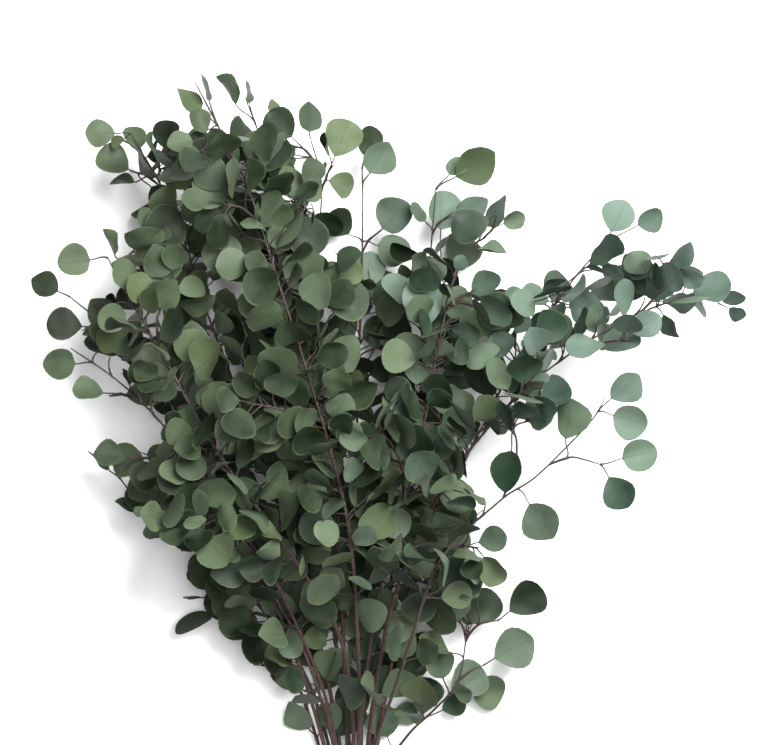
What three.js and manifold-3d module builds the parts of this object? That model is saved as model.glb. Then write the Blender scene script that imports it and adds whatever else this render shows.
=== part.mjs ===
// A bunch of cut silver-dollar eucalyptus: seventeen branches bound with one band of twine, lying on a
// table. Units are millimetres. While it is drawn, +Y runs from the binding to the tips, +Z is up from the
// table and the binding's centre is over x = 0, y = 0. At the end the bunch is moved so that its box stands
// on the origin.
import * as THREE from "three";
import { mergeVertices } from "three/addons/utils/BufferGeometryUtils.js";
import Module from "manifold-3d";

const wasm = await Module();
wasm.setup();

// Leaves: stiff round blades on thin stalks, cut here as flat plates.
const LEAF_THICK = 0.8;
const SHORTEST_STALK = 4;
const STALK_WIDTH = 1.2;
const LEAF_LENGTH = 31; // a usual blade
const BLADE_ROUNDNESS = [0.9, 1.02]; // width over length, narrowest and roundest
const STALK_SHARE = 0.45; // stalk length over blade length, of a usual leaf
const SHOULDER = [0.98, 0.38]; // widest corner: share of the half width, share of the length
const CROWN = [0.55, 0.97]; // corner beside the blunt tip

// Wood: tapered stems and side twigs.
const STEM_SIDES = 5;
const STEM_STEP = 62; // length of one straight stretch of a stem
const TWIG_SIDES = 4;
const TWIG_STEP = 21;
const TIP_RADIUS = 1.05;
const TWIG_RADIUS = 1.35; // at the twig's foot
const JOINT_GAP = 0.35; // between a twig's foot and the stem it grew from
const TIP_SINK = 1.2; // how far inside the wood's end the last leaf stands

// Clearances that keep neighbouring leaves and wood apart.
const FREE_STALK = 4; // a stalk is tested from this far out of its wood
const FREE_STALK_SHARE = 0.4; // or from this share of its length, if it is short
const FAR_APART = 1.1; // leaves further apart than this share of both lengths cannot meet
const TWIG_CLEAR = 0.3; // between the skin of a twig and of any other wood
const PLATE_CLEAR = 1.5; // between the middle planes of two plates
const WOOD_CLEAR = 0.9; // between a plate's middle plane or a stalk and the skin of a twig
const STEM_CLEAR = 0.6; // between the skins of two stems that cross
const TABLE_CLEAR = 0.6; // under the lowest corner of a leaf
const LOWEST_WOOD = 4.5;

// Binding: the stems lie in three rows where the twine goes round them.
const STEM_RADIUS = 2.5;
const SLOT_PITCH = 7;
const ROW_HEIGHTS = [5.2, 11.6, 18];
const ROW_REACH = [3, 2.5, 1.5]; // offset of each row's outer stems, in pitches
const CUT_LENGTH = 118; // from the binding to the cut ends
const CUT_UNEVEN = 9; // how much longer or shorter a stem is cut
const CUT_SPLAY = 1.22; // offset of a cut end over the offset in the binding
const CUT_SINK = 0.6; // how far the cut ends of each row sink below the row
const STRAIGHT_HALF = 10.5; // a stem runs straight this far on both sides of the binding's middle
const BAND_WIDTH = 14;
const BAND_THICK = 2.2;
const BAND_EASE = 1.1; // between the outer stems and the band

// Each branch: its place in the binding (row, offset in pitches), the points that its stem passes above the
// binding, the tips of its side twigs, its leaves that show at the edge of the bunch ([x, y, blade length,
// lean in degrees]), the drooping leaves that the bunch lies on (table), and how many more twigs fill the
// middle.
const BRANCHES = [
  {
    name: "low_left",
    slot: [0, -3],
    route: [[-42, 80, 11], [-62, 125, 16], [-90, 155, 20], [-118, 172, 22]],
    twigs: [[-84, 112, 16]],
    leaves: [[-128, 187, 30, 12], [-137, 148, 36, 60], [-111, 163, 36, 14], [-94, 148, 30, 30],
      [-66, 115, 27, 30],
      [-88, 124, 15, 72], [-47, 66, 30, 35]],
    table: [[-84, 128, 26, 14]],
    fill: 0,
  },
  {
    name: "left_lower",
    slot: [0, -2],
    route: [[-45, 110, 18], [-95, 180, 28], [-150, 228, 36], [-185, 255, 40], [-205, 280, 42]],
    twigs: [[-178, 238, 38]],
    leaves: [[-218, 288, 25, 76], [-192, 250, 24, 60], [-160, 240, 35, 12], [-166, 268, 27, 10],
      [-185, 255, 24, 20]],
    table: [[-165, 232, 28, 20], [-140, 262, 30, -24]],
    fill: 1,
  },
  {
    name: "left_middle",
    slot: [1, -1.5],
    route: [[-40, 120, 38], [-90, 205, 56], [-140, 262, 68], [-165, 288, 74], [-182, 296, 76]],
    twigs: [[-196, 278, 70]],
    leaves: [[-207, 293, 27, 30], [-192, 290, 32, 22], [-150, 310, 28, 15], [-134, 290, 26, 30]],
    fill: 0,
  },
  {
    name: "far_left",
    slot: [1, -2.5],
    route: [[-60, 150, 42], [-120, 262, 66], [-170, 365, 78], [-200, 395, 80], [-240, 428, 82]],
    twigs: [[-228, 402, 74], [-196, 360, 66]],
    leaves: [[-262, 438, 26, 8], [-245, 404, 31, 12], [-213, 414, 30, 20], [-212, 387, 34, 18],
      [-194, 390, 35, 8],
      [-192, 427, 24, 18]],
    fill: 0,
  },
  {
    name: "left_outer",
    slot: [2, -1.5],
    route: [[-28, 100, 52], [-62, 180, 84], [-120, 268, 108], [-165, 325, 114], [-200, 358, 114],
      [-238, 384, 110]],
    twigs: [[-208, 349, 106], [-178, 338, 118]],
    leaves: [[-248, 371, 28, 4], [-223, 348, 27, 38], [-176, 345, 33, 42], [-190, 360, 16, 64],
      [-161, 352, 28, 15]],
    fill: 1,
  },
  {
    name: "left_upper",
    slot: [2, -0.5],
    route: [[1, 60, 38], [-11, 140, 76], [-50, 207, 104], [-112, 295, 130], [-160, 380, 138],
      [-190, 430, 134],
      [-205, 461, 130]],
    twigs: [[-176, 470, 136], [-150, 440, 144]],
    leaves: [[-234, 457, 28, 8], [-190, 446, 30, 26], [-156, 452, 31, 8], [-203, 474, 24, 70],
      [-160, 488, 38, 16],
      [-175, 494, 18, 40]],
    fill: 1,
  },
  {
    name: "upper_left",
    slot: [0, -1],
    route: [[-40, 180, 24], [-85, 310, 40], [-130, 430, 54], [-152, 500, 64], [-188, 568, 70]],
    twigs: [[-190, 536, 60], [-158, 552, 78]],
    leaves: [[-215, 568, 26, 8], [-201, 561, 14, 28], [-187, 565, 23, 36], [-205, 543, 30, 30],
      [-197, 527, 22, 60],
      [-158, 567, 25, 18], [-151, 533, 24, 28], [-162, 513, 28, 35]],
    table: [[-172, 500, 36, 22], [-140, 395, 36, -20], [-80, 380, 36, 26]],
    fill: 1,
  },
  {
    name: "top_left",
    slot: [2, 0.5],
    route: [[6, 60, 40], [4, 150, 84], [-4, 240, 120], [-30, 340, 146], [-60, 435, 154], [-92, 530, 142],
      [-133, 610, 122]],
    twigs: [[-122, 560, 142], [-110, 505, 154]],
    leaves: [[-137, 593, 28, 50], [-123, 604, 26, 74], [-128, 574, 23, 24], [-96, 559, 24, 56],
      [-128, 552, 31, 14],
      [-119, 516, 33, 6], [-121, 492, 28, 12], [-112, 558, 22, 32]],
    fill: 1,
  },
  {
    name: "top_inner",
    slot: [0, 0],
    route: [[-22, 180, 20], [-50, 330, 28], [-68, 480, 36], [-75, 550, 44], [-92, 600, 48]],
    twigs: [[-90, 545, 40]],
    leaves: [[-106, 607, 30, 62], [-89, 605, 22, 76], [-84, 552, 33, 12], [-66, 545, 20, 30],
      [-78, 530, 26, 20]],
    table: [[-92, 505, 35, 20], [-48, 420, 36, -22]],
    fill: 1,
  },
  {
    name: "top_middle",
    slot: [1, -0.5],
    route: [[-10, 180, 56], [-22, 320, 80], [-31, 440, 92], [-26, 520, 94], [-36, 564, 92]],
    twigs: [[-52, 560, 94], [-16, 538, 98], [-48, 508, 100]],
    leaves: [[-36, 581, 27, 36], [-66, 589, 16, 46], [-61, 574, 30, 10], [-8, 562, 34, 10],
      [-34, 533, 23, 12],
      [-22, 556, 22, 78], [-8, 524, 24, 5], [-52, 524, 30, 10], [-38, 478, 36, 8], [-20, 490, 28, 26]],
    fill: 1,
  },
  {
    name: "top_right",
    slot: [0, 1],
    route: [[8, 180, 19], [4, 320, 26], [8, 440, 36], [9, 510, 42], [8, 538, 44]],
    twigs: [[26, 486, 48]],
    leaves: [[14, 562, 27, 40], [23, 548, 32, 12], [37, 498, 32, 8], [36, 470, 30, 22], [14, 452, 32, 16]],
    table: [[-14, 490, 35, 18], [26, 400, 35, -24]],
    fill: 1,
  },
  {
    name: "upper_right",
    slot: [1, 0.5],
    route: [[22, 170, 62], [55, 290, 100], [76, 400, 118], [92, 460, 120], [114, 478, 120]],
    twigs: [[118, 494, 124], [104, 434, 122]],
    leaves: [[100, 486, 34, 12], [122, 500, 32, 64], [137, 492, 20, 28], [119, 467, 25, 68],
      [91, 456, 14, 18],
      [113, 438, 28, 42], [88, 423, 29, 12], [73, 452, 21, 8], [60, 424, 42, 18]],
    fill: 1,
  },
  {
    name: "right_inner",
    slot: [0, 2],
    route: [[36, 200, 24], [58, 340, 38], [66, 450, 50], [71, 520, 56]],
    twigs: [[86, 500, 62]],
    leaves: [[106, 541, 40, 30], [89, 541, 20, 20], [78, 503, 34, 22], [103, 505, 30, 34],
      [57, 501, 20, 50]],
    table: [[92, 470, 36, 20], [84, 386, 36, 24], [30, 300, 34, -22]],
    fill: 2,
  },
  {
    name: "right_upper",
    slot: [1, 2.5],
    route: [[50, 180, 46], [102, 300, 72], [150, 390, 90], [190, 445, 98], [215, 472, 100]],
    twigs: [[176, 428, 108], [222, 452, 92]],
    leaves: [[226, 496, 30, 8], [253, 494, 24, 14], [213, 466, 34, 56], [173, 437, 31, 8],
      [206, 437, 32, 62],
      [140, 426, 24, 20], [142, 408, 24, 14], [160, 402, 28, 28]],
    fill: 1,
  },
  {
    name: "far_right",
    slot: [1, 1.5],
    route: [[38, 180, 86], [90, 285, 128], [160, 362, 144], [225, 405, 138], [288, 431, 126]],
    twigs: [[262, 452, 144], [306, 424, 122], [232, 388, 148]],
    leaves: [[276, 460, 32, 26], [262, 438, 34, 28], [303, 436, 34, 42], [322, 426, 22, 52],
      [326, 414, 16, 40],
      [275, 423, 30, 54], [247, 403, 28, 22], [268, 402, 24, 58], [226, 391, 34, 4], [228, 426, 32, 20],
      [196, 385, 34, 58]],
    fill: 0,
  },
  {
    name: "right_outer",
    slot: [2, 1.5],
    route: [[37, 95, 64], [50, 135, 88], [75, 205, 112], [125, 255, 120], [156, 276, 120], [200, 320, 116],
      [214, 341, 112]],
    twigs: [[210, 286, 124], [108, 216, 124], [134, 330, 126]],
    leaves: [[231, 351, 32, 34], [235, 323, 31, 22], [243, 294, 31, 6], [225, 262, 31, 6],
      [160, 238, 36, 8],
      [183, 325, 36, 34], [119, 222, 25, 18], [119, 197, 28, 36], [131, 280, 36, 44], [171, 344, 30, 30],
      [158, 330, 28, 50], [92, 190, 42, 8]],
    fill: 0,
  },
  {
    name: "low_right",
    slot: [0, 3],
    route: [[48, 50, 12], [72, 74, 22], [91, 98, 34], [98, 138, 42]],
    twigs: [[126, 150, 46], [114, 112, 38]],
    leaves: [[149, 168, 35, 12], [139, 126, 38, 8], [100, 97, 34, 8], [61, 84, 33, 8], [87, 77, 22, 18],
      [112, 162, 34, 28], [84, 172, 36, 8]],
    table: [[118, 88, 34, 16]],
    fill: 0,
  },
];

// The thick of the bunch, as seen from above: filling leaves and twigs keep inside this outline.
const THICK_OUTLINE = [
  [-52, 40], [-55, 95], [-84, 118], [-124, 150], [-138, 172], [-138, 205], [-160, 222], [-190, 246],
  [-196, 264], [-188, 290], [-160, 302], [-156, 338], [-180, 350], [-184, 366], [-224, 390], [-234, 402],
  [-218, 416], [-198, 428], [-196, 450], [-188, 478], [-174, 500], [-176, 528], [-190, 540], [-184, 556],
  [-164, 574], [-146, 566], [-134, 580], [-112, 572], [-92, 570], [-62, 576], [-46, 554], [-28, 540],
  [-20, 510], [-16, 470], [20, 462], [34, 474], [56, 468], [84, 470], [94, 442], [110, 420], [128, 434],
  [156, 434], [172, 448], [196, 450], [214, 464], [250, 466], [284, 468], [300, 442], [330, 424], [326, 412],
  [292, 420], [264, 420], [240, 396], [222, 380], [196, 386], [168, 380], [168, 350], [182, 338], [174, 312],
  [146, 318], [114, 318], [98, 296], [98, 264], [122, 256], [104, 230], [114, 214], [114, 180], [104, 154],
  [102, 142], [84, 138], [84, 116], [108, 106], [112, 92], [96, 70], [62, 66], [40, 40],
];

// Filling twigs: they leave the stem on alternate sides and rise or dip in turn.
const FILL_FROM = 0.4;
const FILL_TO = 0.84;
const FILL_LENGTH = [112, 78]; // lowest and highest twig of a stem
const FILL_LENGTH_EASE = [0.8, 1.15]; // how unequal they are
const FILL_SPREAD = 42; // degrees from the stem
const FILL_SPREAD_EASE = [0.6, 1.3];
const FILL_RISE = 0.7; // how steeply one rises or dips at most
const FILL_LOWEST = 12.5; // the height of the lowest tip
const FILL_SLIDE = 0.02; // how far its foot may slide, as a share of the stem
const PULL_BACK = 0.1; // a tip outside the thick is pulled back by this share at a time
const TWIG_ANGLE = 42; // between a stem and a twig to a chosen tip
const SHORTEST_TWIG = 34;
const HIGHEST_FOOT = 0.985; // share of the stem
const FOOT_STEP = 0.005;
const SHALLOWEST_SINE = 0.2; // of the angle at which a twig leaves its stem, for the gap at its foot
const TWIG_LEAVES_STEM = 0.32; // share of a twig's reach that it first runs along its stem
const TWIG_TURNS = 0.18; // share of the way to its tip that it has turned by then
const BEND_FORWARD = 6; // how far the bend of a twig lies beyond that point
const STEM_LEAVES_FROM = 0.38; // share of a stem below which no filling leaves grow
const TWIG_LEAVES_FROM = 0.2;
const PAIRED_FROM = 0.3; // share of the wood above which they grow on both sides at once
const FILL_LENGTHS = [0.82, 1.2]; // of a usual blade, shortest and longest
const TIP_SHRINK = 0.2; // how much shorter leaves are at the tip than at the foot of the wood
const CROWDED_SHRINK = 0.25; // how much shorter the last try is than the first
const LEAF_SPREAD = [38, 80]; // degrees between a filling leaf and its wood
const LEAF_RISE = [-0.55, 0.65]; // how steeply it dips or rises
const LEAF_LEAN = [10, 62]; // degrees that it is turned about its own axis
const STALK_SPREAD = [0.8, 1.35]; // of a usual stalk
const CHOSEN_LIFT = 4; // a chosen leaf is first lifted or lowered by no more than this
const CHOSEN_LIFT_MORE = 0.5; // and by this much more at each further try
const CHOSEN_LEAN_EASE = 6; // degrees that it may lean more or less than asked
const CHOSEN_LOWEST = 3;
const CHOSEN_TRIES = 140;
const TRIES_AT_FOOT = 16; // before the next best foot is tried
const NEAREST_FOOT = 0.6; // of the blade's length
const OUTWARD_WORTH = 10; // how much a foot on wood that points at the leaf is worth, as a distance
const DROOP_STEP = 0.2;
const BARE_BELOW = 36; // the lowest leaf stands at least this far above the binding
const LEAF_TRIES = 70;
const TWIG_TRIES = 60;
const SETTLE_PASSES = 60;
const SETTLE_EXTRA = 0.05; // added to each push that parts two stems
const CHOSEN_TIP_LOWEST = 6.5;
const TIP_WANDER = [0.2, 0.6]; // how far a chosen tip may move per try, sideways and in height
const ANGLE_WANDER = 0.3; // degrees per try

// Repeatable chances, from 0 to 1.
let chanceState = 20117;
function chance() {
  chanceState = (chanceState * 1664525 + 1013904223) % 4294967296;
  return chanceState / 4294967296;
}
const between = (low, high) => low + (high - low) * chance();
const radians = THREE.MathUtils.degToRad;
const UP = new THREE.Vector3(0, 0, 1);

// True if a place lies inside the outline of the thick of the bunch: a line from it crosses the outline an
// odd number of times.
function inTheThick({ x, y }) {
  let inside = false;
  THICK_OUTLINE.forEach(([x1, y1], i) => {
    const [x2, y2] = THICK_OUTLINE[(i + 1) % THICK_OUTLINE.length];
    if (y1 > y !== y2 > y && x < x1 + ((x2 - x1) * (y - y1)) / (y2 - y1)) inside = !inside;
  });
  return inside;
}

// A piece of wood is a chain of straight stretches between rings. A share of it counts rings, not
// millimetres.
function wood(name, rings, baseRadius, sides) {
  const steps = rings.length - 1;
  const radius = (share) => baseRadius + (TIP_RADIUS - baseRadius) * share;
  const pointAt = (share) => {
    const i = Math.min(steps - 1, Math.floor(share * steps));
    return rings[i].clone().lerp(rings[i + 1], share * steps - i);
  };
  const aheadAt = (share) => {
    const i = Math.min(steps - 1, Math.floor(share * steps));
    return rings[i + 1].clone().sub(rings[i]).normalize();
  };
  const stretchTo = (ring, i) => ({ a: rings[i], b: ring, radius: radius(i / steps) });
  const stretches = rings.slice(1).map(stretchTo);
  return { name, rings, steps, sides, radius, pointAt, aheadAt, stretches, leaves: [] };
}

// Rings on every chosen point of a stem, and between points that stand far apart.
function stemRings(points) {
  const curve = new THREE.CatmullRomCurve3(points);
  const rings = [points[0]];
  for (let i = 1; i < points.length; i++) {
    const parts = Math.max(1, Math.round(points[i].distanceTo(points[i - 1]) / STEM_STEP));
    for (let k = 1; k <= parts; k++) {
      const share = (i - 1 + k / parts) / (points.length - 1);
      rings.push(curve.getPoint(share));
    }
  }
  return rings;
}

// A tapered tube through the rings, closed at both ends.
function tube({ rings, radius, sides, steps }) {
  const positions = [];
  const faces = [];
  let side = new THREE.Vector3(1, 0, 0);
  rings.forEach((centre, i) => {
    const along = rings[Math.min(i + 1, steps)].clone().sub(rings[Math.max(i - 1, 0)]).normalize();
    side = side.clone().addScaledVector(along, -side.dot(along)).normalize();
    const across = along.clone().cross(side);
    for (let k = 0; k < sides; k++) {
      const turn = (2 * Math.PI * k) / sides;
      const point = centre.clone().addScaledVector(side, radius(i / steps) * Math.cos(turn));
      point.addScaledVector(across, radius(i / steps) * Math.sin(turn));
      positions.push(point.x, point.y, point.z);
    }
  });
  for (let i = 0; i < steps; i++) {
    for (let k = 0; k < sides; k++) {
      const a = i * sides + k;
      const b = i * sides + ((k + 1) % sides);
      faces.push(a, b, b + sides, a, b + sides, a + sides);
    }
  }
  for (let k = 1; k < sides - 1; k++) {
    faces.push(0, k + 1, k);
    faces.push(steps * sides, steps * sides + k, steps * sides + k + 1);
  }
  const geometry = new THREE.BufferGeometry();
  geometry.setAttribute("position", new THREE.Float32BufferAttribute(positions, 3));
  geometry.setIndex(faces);
  return geometry;
}

// A leaf as a plan: foot on the wood, unit axis, unit normal, stalk length, blade length and width.
function leafFrame(foot, centre, lean, bladeLength, roundness) {
  const axis = centre.clone().sub(foot);
  const reach = axis.length();
  axis.divideScalar(reach);
  const level = UP.clone().addScaledVector(axis, -UP.dot(axis)).normalize();
  const normal = level.applyAxisAngle(axis, radians(lean));
  const stalk = reach - bladeLength / 2;
  return { foot, centre, axis, normal, stalk, length: bladeLength, width: bladeLength * roundness };
}

// Outline of stalk and blade in the leaf's own plane: x across, y along the axis from the foot.
function leafOutline({ stalk, length, width }) {
  const right = [
    [STALK_WIDTH / 2, 0],
    [STALK_WIDTH / 2, stalk],
    [(width / 2) * SHOULDER[0], stalk + length * SHOULDER[1]],
    [(width / 2) * CROWN[0], stalk + length * CROWN[1]],
  ];
  const left = right.map(([x, y]) => [-x, y]).reverse();
  return [...right, ...left];
}

function leafMatrix({ foot, axis, normal }) {
  const across = axis.clone().cross(normal);
  return new THREE.Matrix4().makeBasis(across, axis, normal).setPosition(foot);
}

function leafPlate(leaf) {
  const shape = new THREE.Shape(leafOutline(leaf).map(([x, y]) => new THREE.Vector2(x, y)));
  const plate = new THREE.ExtrudeGeometry(shape, { depth: LEAF_THICK, bevelEnabled: false });
  return plate.translate(0, 0, -LEAF_THICK / 2).applyMatrix4(leafMatrix(leaf));
}

// The blade's corners in space, for the clearance tests.
function bladeCorners(leaf) {
  const matrix = leafMatrix(leaf);
  return leafOutline(leaf).slice(1, -1).map(([x, y]) => new THREE.Vector3(x, y, 0).applyMatrix4(matrix));
}

// True if the segment a-b comes within clear of the convex plate with these corners and this normal.
function segmentMeetsPlate(a, b, corners, normal, clear) {
  const origin = corners[0];
  const heightA = a.clone().sub(origin).dot(normal);
  const heightB = b.clone().sub(origin).dot(normal);
  if (Math.min(heightA, heightB) > clear || Math.max(heightA, heightB) < -clear) return false;
  let from = 0;
  let to = 1;
  const cut = (valueA, valueB) => {
    // keeps the part of the segment on which a linear value is positive
    if (valueA <= 0 && valueB <= 0) to = -1;
    else if (valueA < 0) from = Math.max(from, valueA / (valueA - valueB));
    else if (valueB < 0) to = Math.min(to, valueA / (valueA - valueB));
  };
  cut(clear - heightA, clear - heightB);
  cut(clear + heightA, clear + heightB);
  const middle = corners.reduce((sum, c) => sum.add(c), new THREE.Vector3()).divideScalar(corners.length);
  corners.forEach((corner, i) => {
    const edge = corners[(i + 1) % corners.length].clone().sub(corner);
    const inward = normal.clone().cross(edge).normalize();
    if (inward.dot(middle.clone().sub(corner)) < 0) inward.negate();
    const margin = clear / 2;
    cut(inward.dot(a.clone().sub(corner)) + margin, inward.dot(b.clone().sub(corner)) + margin);
  });
  return from < to;
}

function segmentGap(a, b, c, d) {
  const u = b.clone().sub(a);
  const v = d.clone().sub(c);
  const w = a.clone().sub(c);
  const uu = u.dot(u);
  const uv = u.dot(v);
  const vv = v.dot(v);
  const uw = u.dot(w);
  const vw = v.dot(w);
  const clamp = (t) => Math.min(1, Math.max(0, t));
  const determinant = uu * vv - uv * uv;
  let s = determinant > 1e-9 ? clamp((uv * vw - vv * uw) / determinant) : 0;
  const t = clamp((uv * s + vw) / vv);
  s = clamp((uv * t - uw) / uu);
  return w.addScaledVector(u, s).addScaledVector(v, -t).length();
}

const timbers = []; // every piece of wood so far
const placed = []; // every leaf so far, with its corners

function leafFits(leaf, own) {
  const corners = bladeCorners(leaf);
  if (corners.some((corner) => corner.z < TABLE_CLEAR)) return false;
  const rooted = Math.min(FREE_STALK, leaf.stalk * FREE_STALK_SHARE);
  const stalkFrom = leaf.foot.clone().addScaledVector(leaf.axis, rooted);
  const stalkTo = leaf.foot.clone().addScaledVector(leaf.axis, leaf.stalk);
  const reach = leaf.length + leaf.stalk;
  for (const other of placed) {
    const far = other.centre.distanceTo(leaf.centre);
    if (far > (reach + other.length + other.stalk) * FAR_APART) continue;
    for (let i = 0; i < corners.length; i++) {
      const j = (i + 1) % corners.length;
      const [a, b] = [corners[i], corners[j]];
      const [c, d] = [other.corners[i], other.corners[j]];
      if (segmentMeetsPlate(a, b, other.corners, other.normal, PLATE_CLEAR)) return false;
      if (segmentMeetsPlate(c, d, corners, leaf.normal, PLATE_CLEAR)) return false;
    }
    if (segmentMeetsPlate(stalkFrom, stalkTo, other.corners, other.normal, PLATE_CLEAR)) return false;
    if (segmentMeetsPlate(other.stalkFrom, other.stalkTo, corners, leaf.normal, PLATE_CLEAR)) return false;
    if (segmentGap(stalkFrom, stalkTo, other.stalkFrom, other.stalkTo) < PLATE_CLEAR) return false;
  }
  for (const timber of timbers) {
    for (const { a, b, radius } of timber.stretches) {
      if (segmentMeetsPlate(a, b, corners, leaf.normal, radius + WOOD_CLEAR)) return false;
      if (timber !== own && segmentGap(a, b, stalkFrom, stalkTo) < radius + WOOD_CLEAR) return false;
    }
  }
  Object.assign(leaf, { corners, stalkFrom, stalkTo });
  return true;
}

// Leaves grow from the middle of a stretch, or from the very tip.
function footOn(timber, share) {
  if (share === 1) {
    const last = timber.rings[timber.steps];
    const inward = timber.rings[timber.steps - 1].clone().sub(last).normalize();
    return last.clone().addScaledVector(inward, TIP_SINK);
  }
  return timber.pointAt((Math.floor(share * timber.steps) + 0.5) / timber.steps);
}

function keepLeaf(timber, leaf) {
  placed.push(leaf);
  timber.leaves.push(leaf);
}

// The feet that a leaf at x, y could grow from, best first: a stalk's length away, on wood that points at it.
function feetFor(choices, x, y, length) {
  const wanted = length * (0.5 + STALK_SHARE);
  const options = [];
  for (const timber of choices) {
    for (let i = 0; i <= timber.steps; i++) {
      const share = i === timber.steps ? 1 : (i + 0.5) / timber.steps;
      const foot = footOn(timber, share);
      const away = new THREE.Vector3(x - foot.x, y - foot.y, 0);
      const distance = away.length();
      if (foot.y < BARE_BELOW || distance < length * NEAREST_FOOT) continue;
      const outward = away.normalize().dot(timber.aheadAt(share));
      options.push({ timber, foot, score: Math.abs(distance - wanted) - OUTWARD_WORTH * outward });
    }
  }
  return options.sort((a, b) => a.score - b.score);
}

const lowestCorner = (leaf) => Math.min(...bladeCorners(leaf).map((corner) => corner.z));

// A chosen leaf has its place in plan given. One that the bunch lies on is set down so that it just touches
// the table.
function addChosenLeaf(choices, [x, y, length, lean], onTable) {
  const options = feetFor(choices, x, y, length);
  for (let attempt = 0; attempt < CHOSEN_TRIES; attempt++) {
    const { timber, foot } = options[Math.min(options.length - 1, Math.floor(attempt / TRIES_AT_FOOT))];
    const lift = between(-1, 1) * (CHOSEN_LIFT + attempt * CHOSEN_LIFT_MORE);
    const tilt = (attempt % 2 ? -lean : lean) + between(-1, 1) * CHOSEN_LEAN_EASE;
    const roundness = between(...BLADE_ROUNDNESS);
    let height = onTable ? TABLE_CLEAR : Math.max(foot.z + lift, CHOSEN_LOWEST);
    let leaf = leafFrame(foot, new THREE.Vector3(x, y, height), tilt, length, roundness);
    while (onTable && lowestCorner(leaf) < TABLE_CLEAR) {
      height += DROOP_STEP;
      leaf = leafFrame(foot, new THREE.Vector3(x, y, height), tilt, length, roundness);
    }
    if (leaf.stalk > SHORTEST_STALK && leafFits(leaf, timber)) {
      keepLeaf(timber, leaf);
      return;
    }
  }
}

// A filling leaf grows to its own side of the wood, and is turned and tilted until it stands clear.
function addFillLeaf(timber, share, side) {
  const foot = footOn(timber, share);
  const ahead = timber.aheadAt(share);
  for (let attempt = 0; attempt < LEAF_TRIES; attempt++) {
    const shrink = 1 - CROWDED_SHRINK * (attempt / LEAF_TRIES);
    const length = LEAF_LENGTH * between(...FILL_LENGTHS) * (1 - TIP_SHRINK * (share - 0.5)) * shrink;
    const spread = share === 1 ? between(-1, 1) * LEAF_SPREAD[0] : side * between(...LEAF_SPREAD);
    const direction = ahead.clone().applyAxisAngle(UP, radians(spread));
    direction.z += between(...LEAF_RISE);
    direction.normalize();
    const reach = length * (0.5 + STALK_SHARE * between(...STALK_SPREAD));
    const centre = foot.clone().addScaledVector(direction, reach);
    const lean = between(-1, 1) * between(...LEAF_LEAN);
    const leaf = leafFrame(foot, centre, lean, length, between(...BLADE_ROUNDNESS));
    if (bladeCorners(leaf).every(inTheThick) && leafFits(leaf, timber)) {
      keepLeaf(timber, leaf);
      return;
    }
  }
}

// A twig leaves its stem along the stem's own direction and bends away to its tip.
function makeTwig(name, stem, share, tip) {
  const root = stem.pointAt(share);
  const ahead = stem.aheadAt(share);
  const away = tip.clone().sub(root);
  const bend = root.clone().addScaledVector(ahead, away.length() * TWIG_LEAVES_STEM);
  bend.addScaledVector(away, TWIG_TURNS);
  const leaving = bend.clone().sub(root).normalize();
  const sine = Math.max(SHALLOWEST_SINE, Math.sin(leaving.angleTo(ahead)));
  const clear = (stem.radius(share) + TWIG_RADIUS + JOINT_GAP) / sine;
  const start = root.clone().addScaledVector(leaving, clear);
  const curve = new THREE.QuadraticBezierCurve3(start, bend.addScaledVector(leaving, BEND_FORWARD), tip);
  const steps = Math.max(2, Math.round(curve.getLength() / TWIG_STEP));
  return wood(name, curve.getPoints(steps), TWIG_RADIUS, TWIG_SIDES);
}

function twigFits(twig) {
  if (twig.rings.some((ring) => ring.z < LOWEST_WOOD)) return false;
  return timbers.every((timber) =>
    timber.stretches.every(({ a, b, radius }) =>
      twig.stretches.every((s) => segmentGap(a, b, s.a, s.b) > radius + s.radius + TWIG_CLEAR),
    ),
  );
}

// The highest share of the stem from which a twig to this tip is long enough and leaves at no more than the
// angle.
function shareFor(stem, tip, angle) {
  for (let share = HIGHEST_FOOT; share > FILL_FROM; share -= FOOT_STEP) {
    const away = tip.clone().sub(stem.pointAt(share));
    if (away.length() > SHORTEST_TWIG && away.angleTo(stem.aheadAt(share)) < radians(angle)) return share;
  }
  return FILL_FROM;
}

function addTwig(branch, shareTo, tipFor) {
  const name = `${branch.name}_twig_${branch.side.length + 1}`;
  for (let attempt = 0; attempt < TWIG_TRIES; attempt++) {
    const tip = tipFor(attempt);
    const twig = makeTwig(name, branch.stem, shareTo(tip, attempt), tip);
    if (twigFits(twig)) {
      timbers.push(twig);
      branch.side.push(twig);
      return;
    }
  }
}

// Stems first, then the hand-placed twigs and edge leaves, then what fills the middle.
for (const branch of BRANCHES) {
  const [row, offset] = branch.slot;
  const x = offset * SLOT_PITCH;
  const z = ROW_HEIGHTS[row];
  const cutEnd = [x * CUT_SPLAY, -CUT_LENGTH - between(-1, 1) * CUT_UNEVEN, z - row * CUT_SINK];
  const points = [cutEnd, [x, -STRAIGHT_HALF, z], [x, STRAIGHT_HALF, z], ...branch.route];
  const rings = stemRings(points.map((p) => new THREE.Vector3(...p)));
  const stem = wood(branch.name + "_stem", rings, STEM_RADIUS, STEM_SIDES);
  timbers.push(stem);
  branch.stem = stem;
  branch.side = [];
}

// Where two stems cross, one lies over the other: they are parted in height until they are clear.
const allStretches = (stem) => stem.stretches.map((stretch) => ({ stem, ...stretch }));
function raise(rings, amount) {
  for (const ring of rings) {
    if (ring.y > BAND_WIDTH) ring.z = Math.max(LOWEST_WOOD, ring.z + amount);
  }
}

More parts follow.
